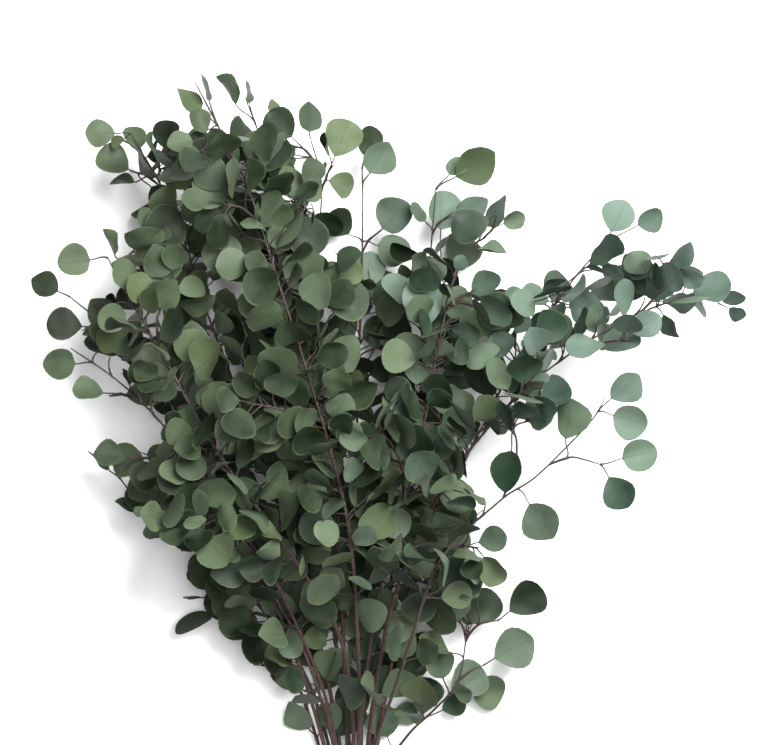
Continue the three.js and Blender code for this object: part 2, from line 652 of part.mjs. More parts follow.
function settleStems(stems) {
  const pieces = stems.flatMap(allStretches);
  for (let pass = 0; pass < SETTLE_PASSES; pass++) {
    let moved = false;
    pieces.forEach((one, i) => {
      for (const other of pieces.slice(i + 1)) {
        if (one.stem === other.stem) continue;
        const gap = segmentGap(one.a, one.b, other.a, other.b) - one.radius - other.radius;
        if (gap >= STEM_CLEAR) continue;
        const push = (STEM_CLEAR - gap) / 2 + SETTLE_EXTRA;
        const oneIsUpper = one.a.z + one.b.z > other.a.z + other.b.z;
        const [upper, lower] = oneIsUpper ? [one, other] : [other, one];
        raise([upper.a, upper.b], push);
        raise([lower.a, lower.b], -push);
        moved = true;
      }
    });
    if (!moved) return;
  }
}
settleStems([...timbers]);

for (const branch of BRANCHES) {
  for (const [x, y, z] of branch.twigs) {
    const near = (value, attempt, reach) => value + between(-1, 1) * attempt * reach;
    const tipFor = (attempt) => {
      const height = Math.max(CHOSEN_TIP_LOWEST, near(z, attempt, TIP_WANDER[1]));
      return new THREE.Vector3(near(x, attempt, TIP_WANDER[0]), near(y, attempt, TIP_WANDER[0]), height);
    };
    const shareTo = (tip, attempt) => shareFor(branch.stem, tip, near(TWIG_ANGLE, attempt, ANGLE_WANDER));
    addTwig(branch, shareTo, tipFor);
  }
}

for (const branch of BRANCHES) {
  for (let i = 0; i < branch.fill; i++) {
    const part = branch.fill > 1 ? i / (branch.fill - 1) : 0.5;
    const share = FILL_FROM + (FILL_TO - FILL_FROM) * part;
    const tipFor = () => {
      const usual = FILL_LENGTH[0] + (FILL_LENGTH[1] - FILL_LENGTH[0]) * part;
      const length = usual * between(...FILL_LENGTH_EASE);
      const turn = (i % 2 ? -1 : 1) * FILL_SPREAD * between(...FILL_SPREAD_EASE);
      const direction = branch.stem.aheadAt(share).applyAxisAngle(UP, radians(turn));
      direction.z += between(-1, 1) * FILL_RISE;
      const root = branch.stem.pointAt(share);
      const tip = root.clone().addScaledVector(direction.normalize(), length);
      while (!inTheThick(tip)) tip.lerp(root, PULL_BACK);
      tip.z = Math.max(tip.z, FILL_LOWEST);
      return tip;
    };
    addTwig(branch, () => share + between(-1, 1) * FILL_SLIDE, tipFor);
  }
}

for (const branch of BRANCHES) {
  const choices = [branch.stem, ...branch.side];
  for (const leaf of branch.leaves) addChosenLeaf(choices, leaf, false);
  for (const leaf of branch.table ?? []) addChosenLeaf(choices, leaf, true);
}

for (const branch of BRANCHES) {
  for (const timber of [branch.stem, ...branch.side]) {
    const from = timber === branch.stem ? STEM_LEAVES_FROM : TWIG_LEAVES_FROM;
    for (let i = 0; i <= timber.steps; i++) {
      const share = i === timber.steps ? 1 : (i + 0.5) / timber.steps;
      if (share < from) continue;
      const sides = share > PAIRED_FROM && share < 1 ? [1, -1] : [i % 2 ? 1 : -1];
      for (const side of sides) addFillLeaf(timber, share, side);
    }
  }
}

// Joins wood and leaves into one closed solid.
function solidOf(geometry) {
  const bare = geometry.clone();
  bare.deleteAttribute("normal");
  bare.deleteAttribute("uv");
  const merged = mergeVertices(bare, 1e-4);
  return new wasm.Manifold(
    new wasm.Mesh({
      numProp: 3,
      vertProperties: new Float32Array(merged.attributes.position.array),
      triVerts: new Uint32Array(merged.index.array),
    }),
  );
}

function geometryOf(solid) {
  const mesh = solid.getMesh();
  const geometry = new THREE.BufferGeometry();
  geometry.setAttribute("position", new THREE.BufferAttribute(mesh.vertProperties, 3));
  geometry.setIndex(new THREE.BufferAttribute(mesh.triVerts, 1));
  geometry.computeVertexNormals();
  return geometry;
}

const barkMaterial = new THREE.MeshStandardMaterial({ color: 0x5a4038, roughness: 0.8, metalness: 0 });
const leafMaterial = new THREE.MeshStandardMaterial({ color: 0x566b54, roughness: 0.6, metalness: 0 });
const twineMaterial = new THREE.MeshStandardMaterial({ color: 0xa58a62, roughness: 0.95, metalness: 0 });

const bunch = new THREE.Group();
for (const timber of timbers) {
  let solid = solidOf(tube(timber));
  for (const leaf of timber.leaves) solid = solid.add(solidOf(leafPlate(leaf)));
  const isStem = timber.name.endsWith("_stem");
  const mesh = new THREE.Mesh(geometryOf(solid), isStem ? barkMaterial : leafMaterial);
  mesh.name = timber.name;
  bunch.add(mesh);
}

// The twine is pulled straight from stem to stem round the outer ones, drawn counterclockwise as x across,
// y up.
function twineOutline(ease) {
  const reach = STEM_RADIUS + ease;
  const outer = ROW_REACH.map((pitches, row) => [pitches * SLOT_PITCH, ROW_HEIGHTS[row]]);
  const corners = [...outer, ...outer.map(([x, y]) => [-x, y]).reverse()];
  const facing = (from, to) => Math.atan2(to[1] - from[1], to[0] - from[0]) - Math.PI / 2;
  const outline = new THREE.Shape();
  corners.forEach((corner, i) => {
    const before = corners[(i + corners.length - 1) % corners.length];
    const after = corners[(i + 1) % corners.length];
    outline.absarc(corner[0], corner[1], reach, facing(before, corner), facing(corner, after), false);
  });
  outline.closePath();
  return outline;
}
const bandShape = twineOutline(BAND_EASE + BAND_THICK);
bandShape.holes.push(twineOutline(BAND_EASE));
const bandOptions = { depth: BAND_WIDTH, bevelEnabled: false, curveSegments: 5 };
const band = new THREE.ExtrudeGeometry(bandShape, bandOptions);
band.translate(0, 0, -BAND_WIDTH / 2).rotateX(Math.PI / 2);
const binding = new THREE.Mesh(band, twineMaterial);
binding.name = "twine_binding";
bunch.add(binding);

const box = new THREE.Box3().setFromObject(bunch);
bunch.position.set(-(box.min.x + box.max.x) / 2, -(box.min.y + box.max.y) / 2, -box.min.z);

export default bunch;
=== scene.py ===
from itertools import combinations

import bmesh
import bpy
import numpy as np
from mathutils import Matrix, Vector


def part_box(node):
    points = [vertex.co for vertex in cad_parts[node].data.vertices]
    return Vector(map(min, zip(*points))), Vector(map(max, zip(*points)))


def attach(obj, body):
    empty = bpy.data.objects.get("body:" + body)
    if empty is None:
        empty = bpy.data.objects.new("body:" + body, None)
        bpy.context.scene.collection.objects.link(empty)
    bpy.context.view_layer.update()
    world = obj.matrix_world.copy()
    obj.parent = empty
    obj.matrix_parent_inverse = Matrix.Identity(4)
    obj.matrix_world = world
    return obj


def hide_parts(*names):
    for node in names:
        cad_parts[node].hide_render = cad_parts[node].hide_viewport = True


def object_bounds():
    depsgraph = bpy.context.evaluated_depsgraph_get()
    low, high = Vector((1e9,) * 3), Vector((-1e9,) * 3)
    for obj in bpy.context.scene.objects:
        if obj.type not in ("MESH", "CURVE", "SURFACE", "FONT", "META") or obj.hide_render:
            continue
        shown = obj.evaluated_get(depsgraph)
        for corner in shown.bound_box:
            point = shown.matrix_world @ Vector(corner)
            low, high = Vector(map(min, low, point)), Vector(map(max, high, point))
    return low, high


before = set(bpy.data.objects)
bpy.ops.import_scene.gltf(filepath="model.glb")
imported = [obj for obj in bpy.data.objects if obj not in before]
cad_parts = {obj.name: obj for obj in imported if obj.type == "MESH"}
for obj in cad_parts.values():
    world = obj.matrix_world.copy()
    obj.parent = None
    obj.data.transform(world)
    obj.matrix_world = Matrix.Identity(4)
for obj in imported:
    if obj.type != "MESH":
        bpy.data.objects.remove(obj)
cad_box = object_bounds()

# ----------------------------------------------------------------------------------------------------------
# Stems and side twigs
# Each branch is one forked woody shoot, thick and reddish where it was cut, thin and dark at its tips. It
# swells a little at every leaf. The frame holds the wood as a chain of rings and each leaf as a thin
# plate on a stalk.

SAME_CORNER = 5e-6  # corners closer than this are one
FLAT_ANGLE = 0.01  # radians between the triangles of one flat face

PLATE_THICK = 0.0008
SMALLEST_PLATE = 6e-5  # square metres: the least face that may be the side of a leaf plate
OPPOSITE = -0.995  # the normals of a plate's two sides have at most this dot product
SIDE_SHIFT = 0.004  # how far one side's centre may stand off the other's, along the plate
THICK_EASE = 0.0002  # how far off the plate's thickness their distance may be
FOOT_WIDTH = 0.0022  # the corners this close to the furthest one are the stalk's foot
STALK_HALF = 0.0011  # corners this close to the leaf's axis belong to its stalk
PLATE_CROWN = 0.97  # a plate ends at this share of its leaf, because the leaf's tip is round
PLATE_WIDTH = 0.98  # and is this much of its leaf's width
ON_PLATE = 2e-5  # corners this close to a plate's are not the wood's

STEM_SIDES = 5
STEM_LINK = 0.0031  # corners of the stem that stand closer than this are one group
TWIG_LINK = 0.0021
LINK_PASSES = 5
SMALLEST_GROUP = 3
LARGEST_GROUP = 12
UNEVEN_RING = 0.003  # the corners of a true ring differ by less than this share in their reach
RING_APART = 0.003
TWIG_BASE_RADIUS = 0.00135
TIP_RADIUS = 0.00105
TIP_EASE = 1.02  # a last ring wider than this many tip radii is not the stem's tip
TIP_MISSED = 3  # and the tip is then more than this many radii beyond it
FORK_STATIONS = 3  # a twig parts from its stem this many stations below the place where it stands free


def joined_triangles(node):
    """The node's loose triangles with their shared corners joined, as a bmesh."""
    shell = bmesh.new()
    shell.from_mesh(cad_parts[node].data)
    bmesh.ops.remove_doubles(shell, verts=shell.verts, dist=SAME_CORNER)
    return shell


def unit(vectors):
    """The vectors divided by their lengths."""
    return vectors / np.maximum(np.linalg.norm(vectors, axis=-1, keepdims=True), 1e-12)


def area_centre(outline, normal):
    """The area centre of a flat outline: the mean of its fan triangles' centres, weighted by signed area."""
    first, second, third = outline[0], outline[1:-1], outline[2:]
    areas = np.cross(second - first, third - first) @ normal
    return ((first + second + third) / 3 * areas[:, None]).sum(axis=0) / areas.sum()


def read_plates(node):
    """The node's leaf plates: pairs of flat faces that look opposite ways, one plate's thickness apart.

    Each is a dict of its foot on the wood, the start of its blade, unit axis and normal, length and width.
    """
    shell = joined_triangles(node)
    bmesh.ops.dissolve_limit(shell, angle_limit=FLAT_ANGLE, verts=shell.verts, edges=shell.edges)
    sides = [face for face in shell.faces if face.calc_area() > SMALLEST_PLATE]
    centres = np.array([face.calc_center_median_weighted() for face in sides])
    normals = np.array([face.normal for face in sides])
    outlines = [np.array([corner.co for corner in face.verts]) for face in sides]
    shell.free()
    plates = []
    for i, normal in enumerate(normals):
        away = centres - centres[i]
        depth = away @ normal
        facing = normals @ normal < OPPOSITE
        beside = np.linalg.norm(away - np.outer(depth, normal), axis=1) < SIDE_SHIFT
        backs = np.flatnonzero(facing & beside & (np.abs(depth + PLATE_THICK) < THICK_EASE))
        if len(backs) == 0 or (normal[2], i) < (-normal[2], backs[0]):
            continue
        outline = outlines[i] - normal * PLATE_THICK / 2
        centre = area_centre(outline, normal)
        far = outline[np.argmax(np.linalg.norm(outline - centre, axis=1))]
        foot = outline[np.linalg.norm(outline - far, axis=1) < FOOT_WIDTH].mean(axis=0)
        axis = unit(centre - foot)
        up, aside = (outline - foot) @ axis, np.abs((outline - foot) @ np.cross(axis, normal))
        stalk = up[aside < STALK_HALF].max()
        faces = np.vstack([outline + normal * PLATE_THICK / 2, outline - normal * PLATE_THICK / 2])
        plates.append(dict(foot=foot, base=foot + axis * stalk, axis=axis, normal=normal, corners=faces,
                           length=(up.max() - stalk) / PLATE_CROWN, width=2 * aside.max() / PLATE_WIDTH))
    return sorted(plates, key=lambda plate: (*plate["foot"].round(4), *plate["axis"].round(2)))


def wood_groups(node, plates, link):
    """The node's corners that belong to no plate, as groups of corners that stand close together."""
    shell = joined_triangles(node)
    corners = np.array([corner.co for corner in shell.verts])
    shell.free()
    for plate in plates:
        apart = np.linalg.norm(corners[:, None] - plate["corners"][None], axis=2).min(axis=1)
        corners = corners[apart > ON_PLATE]
    groups = []
    while len(corners):
        near = np.zeros(len(corners), bool)
        near[0] = True
        for _ in range(LINK_PASSES):
            near = np.linalg.norm(corners[:, None] - corners[near][None], axis=2).min(axis=1) < link
        groups.append(corners[near])
        corners = corners[~near]
    return groups


def true_ring(group):
    """The centre and radius of the regular ring in a group: of all sets of that many corners, the one whose
    distances from their own centre differ least. None if no set is regular."""
    if not STEM_SIDES <= len(group) <= LARGEST_GROUP:
        return None
    corners = group[np.array(list(combinations(range(len(group)), STEM_SIDES)))]
    centres = corners.mean(axis=1)
    reach = np.linalg.norm(corners - centres[:, None], axis=2)
    uneven = np.ptp(reach, axis=1) / reach.mean(axis=1)
    best = np.argmin(uneven)
    return (centres[best], reach[best].mean()) if uneven[best] < UNEVEN_RING else None


def read_stem(node, plates):
    """The centres and radii of a stem's rings, from its thick cut end to its tip."""
    found = [true_ring(group) for group in wood_groups(node, plates, STEM_LINK)]
    rings = sorted([ring for ring in found if ring is not None], key=lambda ring: -ring[1])
    centres, radii = [np.array(values) for values in zip(*rings)]
    feet = np.array([plate["foot"] for plate in plates])
    beyond = (feet - centres[-1]) @ unit(centres[-1] - centres[-2])
    if radii[-1] > TIP_RADIUS * TIP_EASE and beyond.max() > radii[-1] * TIP_MISSED:
        centres = np.vstack([centres, feet[np.argmax(beyond)]])
        radii = np.append(radii, TIP_RADIUS)
    return centres, radii


def read_twig(node, plates, stem_path):
    """The centres and radii along a side twig, from its root inside the stem to its tip."""
    groups = [group for group in wood_groups(node, plates, TWIG_LINK) if len(group) >= SMALLEST_GROUP]
    middles = np.array([group.mean(axis=0) for group in groups])
    apart = np.linalg.norm(middles[:, None] - stem_path[None], axis=2)
    root = np.argmin(apart.min(axis=1))
    middles = middles[np.argsort(np.linalg.norm(middles - middles[root], axis=1))]
    centres = [stem_path[max(0, np.argmin(apart[root]) - FORK_STATIONS)]]
    for middle in middles:
        if np.linalg.norm(middle - centres[-1]) > RING_APART:
            centres.append(middle)
    return np.array(centres), np.linspace(TWIG_BASE_RADIUS, TIP_RADIUS, len(centres))


CURVE_CUTS = 24  # fine cuts from one point of a path to the next
FEWEST_STEPS = 4


def travelled_along(path):
    """The distance travelled along a path at each of its points: the running sum of its steps."""
    return np.concatenate([[0], np.cumsum(np.linalg.norm(np.diff(path, axis=0), axis=1))])


def smooth_path(points, radii, step):
    """A Catmull-Rom curve through the points, cut into even steps, with the radii carried along it."""
    ends = np.vstack([2 * points[0] - points[1], points, 2 * points[-1] - points[-2]])
    share = np.linspace(0, 1, CURVE_CUTS, endpoint=False)[:, None, None]
    a, b, c, d = ends[:-3], ends[1:-2], ends[2:-1], ends[3:]
    curve = 0.5 * (2 * b + (c - a) * share + (2 * a - 5 * b + 4 * c - d) * share**2
                   + (3 * b - a - 3 * c + d) * share**3)
    fine = np.vstack([curve.transpose(1, 0, 2).reshape(-1, 3), points[-1]])
    travelled = travelled_along(fine)
    fine_radii = np.interp(np.arange(len(fine)) / CURVE_CUTS, np.arange(len(points)), radii)
    count = max(FEWEST_STEPS, int(round(travelled[-1] / step)))
    stations = np.linspace(0, travelled[-1], count + 1)
    path = np.stack([np.interp(stations, travelled, fine[:, k]) for k in range(3)], axis=1)
    return path, np.interp(stations, travelled, fine_radii)


STEEP = 0.9  # a path that climbs more than this starts its side vector level with x, not with z


def tube_rings(paths, radii, sides):
    """Rings of corners round several paths: centre + radius * (cos angle * side + sin angle * top).

    The side vector is carried along a path by taking out of it, at each station, its part along the path.
    """
    along = unit(np.gradient(paths, axis=1))
    steep = np.abs(along[:, 0, 2:]) > STEEP
    start = unit(np.cross(along[:, 0], np.where(steep, [[1.0, 0, 0]], [[0, 0, 1.0]])))
    carried = [start]
    for direction in along[:, 1:].swapaxes(0, 1):
        slipped = (carried[-1] * direction).sum(axis=-1, keepdims=True) * direction
        carried.append(unit(carried[-1] - slipped))
    side = np.stack(carried, axis=1)[:, :, None]
    top = np.cross(along[:, :, None], side)
    angle = (np.arange(sides) * 2 * np.pi / sides)[:, None]
    return paths[:, :, None] + radii[..., None] * (np.cos(angle) * side + np.sin(angle) * top)


def closed_shells(rings, start, end):
    """Vertices and faces of closed shells, one to each entry of rings (shell, ring, corner, xyz): its
    rings in order, joined by quads, and a fan of triangles to its start and its end point."""
    shells, count, around = rings.shape[:3]
    size = count * around + 2
    vertices = np.concatenate([rings.reshape(shells, -1, 3), start[:, None], end[:, None]], axis=1)
    corner = np.arange(count * around).reshape(count, around)
    beside = np.roll(corner, -1, axis=1)
    quads = np.stack([corner[:-1], beside[:-1], beside[1:], corner[1:]], axis=-1).reshape(-1, 4)
    first = np.stack([np.full(around, size - 2), beside[0], corner[0]], axis=-1)
    last = np.stack([np.full(around, size - 1), corner[-1], beside[-1]], axis=-1)
    offsets = (np.arange(shells) * size)[:, None, None]
    all_quads = (quads[None] + offsets).reshape(-1, 4)
    fans = (np.vstack([first, last])[None] + offsets).reshape(-1, 3)
    return vertices.reshape(-1, 3), all_quads, fans


def new_piece(name, vertices, quads, fans, point_values, material):
    """A smooth mesh object that rides on the root body, with named values stored on its points."""
    mesh = bpy.data.meshes.new(name)
    mesh.from_pydata(vertices.tolist(), [], quads.tolist() + fans.tolist())
    mesh.shade_smooth()
    for key, values in point_values.items():
        stored = mesh.attributes.new(key, "FLOAT", "POINT").data
        stored.foreach_set("value", np.ascontiguousarray(values, np.float32))
    mesh.materials.append(material)
    piece = bpy.data.objects.new(name, mesh)
    bpy.context.scene.collection.objects.link(piece)
    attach(piece, "root")
    return piece


class Shade:
    """A socket of a material's nodes that stands in an expression: each operator adds a Math node."""

    def __init__(self, tree, socket=None):
        self.tree = tree
        self.socket = socket

    def node(self, kind, settings, inputs, output=0):
        """Adds a node: its settings first, then the values or links of its sockets."""
        made = self.tree.nodes.new(kind)
        for key, value in settings.items():
            setattr(made, key, value)
        for key, value in inputs.items():
            if isinstance(value, Shade):
                self.tree.links.new(value.socket, made.inputs[key])
            else:
                made.inputs[key].default_value = value
        return Shade(self.tree, made.outputs[output] if made.outputs else None)

    def math(self, operation, *values):
        return self.node("ShaderNodeMath", {"operation": operation}, dict(enumerate(values)))

    def __add__(self, other):
        return self.math("ADD", self, other)

    def __radd__(self, other):
        return self.math("ADD", other, self)

    def __sub__(self, other):
        return self.math("SUBTRACT", self, other)

    def __rsub__(self, other):
        return self.math("SUBTRACT", other, self)

    def __mul__(self, other):
        return self.math("MULTIPLY", self, other)

    def __rmul__(self, other):
        return self.math("MULTIPLY", other, self)

    def step(self, low, high, to_low=0.0, to_high=1.0):
        """A soft step from to_low to to_high as the value goes from low to high."""
        ends = {"From Min": low, "From Max": high, "To Min": to_low, "To Max": to_high}
        return self.node("ShaderNodeMapRange", {"interpolation_type": "SMOOTHSTEP"}, {"Value": self, **ends})

    def mix(self, first, second):
        """The first colour where this value is 0, the second where it is 1."""
        return self.node("ShaderNodeMix", {"data_type": "RGBA"}, {0: self, 6: first, 7: second}, output=2)

    def value(self, name):
        """The number that the mesh stores under a name."""
        return self.node("ShaderNodeAttribute", {"attribute_name": name}, {}, output=2)

    def object_place(self):
        """The place on the object, in metres."""
        return self.node("ShaderNodeTexCoord", {}, {}, output=3)

    def noise(self, place, scale, detail=2.0, roughness=0.5):
        """Noise from 0 to 1 at a place, with this many swells to the metre."""
        sockets = {"Vector": place, "Scale": scale, "Detail": detail, "Roughness": roughness}
        return self.node("ShaderNodeTexNoise", {}, sockets)

    def bump(self, height, strength, depth):
        """The normal of a surface with this relief, its height 1 standing for a depth in metres."""
        sockets = {"Height": height, "Strength": strength, "Distance": depth}
        return self.node("ShaderNodeBump", {}, sockets)


def new_material(name):
    """An empty node material and the Shade that adds nodes to it."""
    material = bpy.data.materials.new(name)
    material.use_nodes = True
    material.node_tree.nodes.clear()
    return material, Shade(material.node_tree)


def surface(shade, sockets):
    """Ends a material: one Principled shader with these sockets, on the output."""
    shader = shade.node("ShaderNodeBsdfPrincipled", {}, sockets)
    shade.node("ShaderNodeOutputMaterial", {}, {"Surface": shader})


def paint(red, green, blue):
    """A colour from its display values of 0 to 255, as the shader takes it."""
    return tuple((value / 255) ** 2.2 for value in (red, green, blue)) + (1.0,)


TWIG_DARK = paint(36, 27, 26)
STEM_RED = paint(62, 39, 34)
STEM_GREY = paint(52, 46, 41)
BARK_SHADOW = paint(26, 20, 20)
BARK_LIGHT = paint(78, 58, 48)
CUT_WOOD = paint(196, 178, 142)


def wood_finish():
    """Thin bark: brown to purple by the stored tint, mottled, with faint rings and a pale cut face."""
    material, shade = new_material("eucalyptus_bark")
    place = shade.object_place()
    mottle = shade.noise(place, 210.0, detail=4.0, roughness=0.6)
    rings = shade.node("ShaderNodeTexNoise", {"noise_dimensions": "1D"},
                       {"W": shade.value("along") * 420.0, "Scale": 1.0, "Detail": 2.0})
    colour = shade.value("tint").mix(TWIG_DARK, STEM_RED)
    colour = shade.value("grey").mix(colour, STEM_GREY)
    colour = (mottle.step(0.35, 0.75) * 0.55).mix(colour, BARK_SHADOW)
    colour = (rings.step(0.56, 0.72) * 0.4).mix(colour, BARK_LIGHT)
    colour = shade.value("cut").step(0.35, 0.65).mix(colour, CUT_WOOD)
    relief = shade.bump(mottle * 0.6 + rings * 0.4, 0.5, 0.0002)
    roughness = mottle.step(0.3, 0.7, 0.5, 0.72)
    surface(shade, {"Base Color": colour, "Roughness": roughness, "Normal": relief,
                    "Specular IOR Level": 0.35})
    return material


WOOD_SIDES = 8
WOOD_STEP = 0.0025
KNOT_RISE = 0.32  # how much thicker the wood is at a leaf
KNOT_REACH = 0.0026
ROOT_FLARE = 1.35  # how much thicker a twig is where it leaves its stem
FLARE_REACH = 0.006
ROOT_SHARE = 0.85  # a twig starts no thicker than this share of its stem there
ROOT_OPENING = 0.06  # and widens by no more than this share of the way along it
CUT_EDGE = 0.0003
TIP_TAPER = 0.007
TOP_SLIMMING = 0.42  # how much thinner the wood is at its tip than the frame's rings
TIP_NARROWING = 0.35  # and how much more over the last part
TIP_DOME = 0.8  # how far its end stands out, in radii


def swollen(path, radii, knots):
    """Radii times 1 + rise * exp(-(distance from the nearest knot / reach) squared)."""
    apart = np.linalg.norm(path[:, None] - knots[None], axis=2).min(axis=1)
    return radii * (1 + KNOT_RISE * np.exp(-((apart / KNOT_REACH) ** 2)))


def stem_of(twig):
    """The name of the stem that a side twig grows on."""
    return twig.split("_twig_")[0] + "_stem"


nodes = sorted(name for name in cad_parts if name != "twine_binding")
stems = [name for name in nodes if name.endswith("_stem")]
twigs = [name for name in nodes if "_twig_" in name]
plates_of = {node: read_plates(node) for node in nodes}
wood_of = {}
for node in stems:
    wood_of[node] = smooth_path(*read_stem(node, plates_of[node]), WOOD_STEP)
for node in twigs:
    stem_path = wood_of[stem_of(node)][0]
    wood_of[node] = smooth_path(*read_twig(node, plates_of[node], stem_path), WOOD_STEP)


def wood_thickness(node, knots):
    """The wood's path, the distance along it and its radii.

    It swells at its knots and gets slimmer towards its tip. A stem's second ring comes close behind the
    first, which keeps the cut's edge sharp. A twig's radii are multiplied by 1 + (flare - 1) *
    exp(-distance / reach), but it starts no wider than its stem allows.
    """
    path, radii = wood_of[node]
    radii = swollen(path, radii, knots)
    travelled = travelled_along(path)
    left = travelled[-1] - travelled
    radii = radii * (1 - TOP_SLIMMING * travelled / travelled[-1])
    radii = radii * (1 - TIP_NARROWING * np.clip(1 - left / TIP_TAPER, 0, 1))
    if node in stems:
        path = np.insert(path, 1, path[0] + unit(path[1] - path[0]) * CUT_EDGE, axis=0)
        return path, np.insert(travelled, 1, CUT_EDGE), np.insert(radii, 1, radii[0])
    stem_path, stem_radii = wood_of[stem_of(node)]
    root = np.argmin(np.linalg.norm(stem_path - path[0], axis=1))
    widest = stem_radii[root] * (1 - TOP_SLIMMING * root / len(stem_path)) * ROOT_SHARE
    flared = radii * (1 + (ROOT_FLARE - 1) * np.exp(-travelled / FLARE_REACH))
    return path, travelled, np.minimum(flared, widest + travelled * ROOT_OPENING)

# ----------------------------------------------------------------------------------------------------------
# Leaves
# The leaves are round and a little pointed, thin and waxy, grey-green on top and paler underneath, each
# slightly cupped, bent and twisted. Every plate of the frame becomes one, and the thick middle of the
# bunch gets more.

# What makes each leaf different, with the least and the most of it. The last three set its colour.
TRAITS = {
    "shoulder": (0.46, 0.94),
    "roundness": (0.46, 0.84),
    "skew": (-0.2, 0.2),
    "bow": (-0.1, 0.1),
    "bend": (-0.3, 0.4),
    "cup": (-0.08, 0.15),
    "fold": (-0.04, 0.2),
    "twist": (-0.5, 0.5),
    "wave": (-0.065, 0.065),
    "phase": (0.0, 1.0),
    "tone": (0.0, 1.0),
    "hue": (0.0, 1.0),
    "spot": (0.0, 1.0),
}
WAVES = 1.4  # along a leaf's rim
HELD_FLAT = 0.4  # the share of the half width at which a fold leaves the blade where it was

LEAF_ROWS = 8
LEAF_THICK = 0.00045
RING_ACROSS = np.array([-1, -0.5, 0, 0.5, 1, 0.5, 0, -0.5])  # over the top from rim to rim and back below
RING_LIFT = np.array([0, 0.75, 1, 0.75, 0, -0.75, -1, -0.75]) * LEAF_THICK / 2
ROW_ANGLES = np.radians(36 + 18 * np.arange(LEAF_ROWS))  # evenly round a half circle
ROW_ALONG = (1 - np.cos(ROW_ANGLES)) / 2  # so the rows come closer together at both ends


def blade_places(leaves, along, across):
    """Places on each leaf for along in 0..1 from stalk to tip and across in -1..1 from edge to edge.

    Half the width is along^shoulder * (1 - along)^roundness, scaled to peak at the leaf's half width and
    skewed to one side. The whole leaf bows sideways by bow * length * (along - along squared). The height
    over the flat leaf adds a bend with the square of the distance from the middle, a cup with the square
    of the distance from the midrib, a fold with that distance, a twist and a wave.
    """
    part = {trait: leaves[trait][:, None] for trait in TRAITS}
    length, width = leaves["length"][:, None], leaves["width"][:, None]
    peak = part["shoulder"] / (part["shoulder"] + part["roundness"])
    half = width / 2 * (along / peak) ** part["shoulder"] * ((1 - along) / (1 - peak)) ** part["roundness"]
    out = across * half * (1 + part["skew"] * across * np.sin(np.pi * along))
    side = out / (width / 2)
    height = (part["bend"] * length * ((along - 0.5) ** 2 - 1 / 12)
              + part["cup"] * width * (side**2 - 0.25)
              + part["fold"] * width * (np.abs(side) - HELD_FLAT)
              + part["twist"] * (along - 0.5) * out
              + part["wave"] * width * np.sin(2 * np.pi * (WAVES * along + part["phase"])) * side)
    out = out + part["bow"] * length * (along - along**2)
    across_axis = np.cross(leaves["axis"], leaves["normal"])
    return (leaves["base"][:, None] + leaves["axis"][:, None] * (along * length)[..., None]
            + across_axis[:, None] * out[..., None] + leaves["normal"][:, None] * height[..., None])


# In the thick of the bunch leaves turn about their axes in search of light, and later ones fill the
# gaps. A leaf is turned or added only where it stays clear of the other leaves and of the wood. The
# outline is seen from above, in millimetres from the middle of the binding.
THICK_OUTLINE = 0.001 * np.array([
    [-70, 112], [-84, 118], [-124, 150], [-138, 172], [-138, 205], [-160, 222], [-190, 246], [-196, 264],
    [-188, 290], [-160, 302], [-156, 338], [-180, 350], [-184, 366], [-224, 390], [-234, 402], [-218, 416],
    [-198, 428], [-196, 450], [-188, 478], [-174, 500], [-176, 528], [-190, 540], [-184, 556], [-164, 574],
    [-146, 566], [-134, 580], [-112, 572], [-92, 570], [-62, 576], [-46, 554], [-28, 540], [-20, 510],
    [-16, 470], [20, 462], [34, 474], [56, 468], [84, 470], [94, 442], [110, 420], [128, 434],
    [156, 434], [172, 448], [196, 450], [214, 464], [250, 466], [284, 468], [300, 442], [330, 424],
    [326, 412], [292, 420], [264, 420], [240, 396], [222, 380], [196, 386], [168, 380], [168, 350],
    [182, 338], [174, 312], [146, 318], [114, 318], [98, 296], [98, 264], [122, 256], [104, 230],
    [114, 214], [114, 180], [104, 154], [102, 142], [84, 138], [80, 112], [60, 90], [42, 44],
    [-42, 44], [-50, 90],
])
STEMS_SHOW_BELOW = 0.19  # low in the bunch, leaves are added only under the upper row of stems
UNDER_STEMS = 0.42  # height over distance from the binding

TURN_REACH = 1.25  # radians that a leaf turns at most
TURN_TRIES = 4
MORE_TRIES = 60000
DRAWS_EACH = 13  # the numbers that a tried leaf takes
MORE_LEAVES = 620  # added at most
STALK_FORWARD = 0.55  # an added leaf's stalk leaves the wood this much forward
STALK_ASIDE = 0.85  # and this much sideways
STALK_LENGTHS = (0.007, 0.027)
BLADE_LENGTHS = (0.023, 0.039)
BLADE_WIDTHS = (0.84, 1.0)  # as shares of the length
AXIS_SPREAD = 1.2  # how far a blade's axis may turn from its stalk
FACES_UP = 0.8  # how strongly a blade's face is drawn upwards
FACE_SPREAD = 2.8  # against how strongly it is turned at random

LEAF_GAP = 0.0019  # round a leaf's face and rim
DISC_STEPS = 9  # points across a blade
STALK_TESTED = np.linspace(0.25, 1, 6)[:, None]  # the shares of a stalk at which it is tested
NEAR_LEAVES = 0.05  # a leaf is tested against the leaves this near, from middle to middle
NEAR_WOOD = 0.03  # and against the wood this near
TIP_KEPT = 0.0015  # how far inside the frame's box a leaf stays


def in_outline(places):
    """Which places lie inside the outline: a line from them crosses it an odd number of times."""
    x, y = places[:, :1], places[:, 1:2]
    x1, y1 = THICK_OUTLINE.T
    x2, y2 = np.roll(THICK_OUTLINE, -1, axis=0).T
    rise = np.where(y1 == y2, 1, y2 - y1)
    crosses = ((y1 > y) != (y2 > y)) & (x < x1 + (x2 - x1) * (y - y1) / rise)
    return crosses.sum(axis=1) % 2 == 1


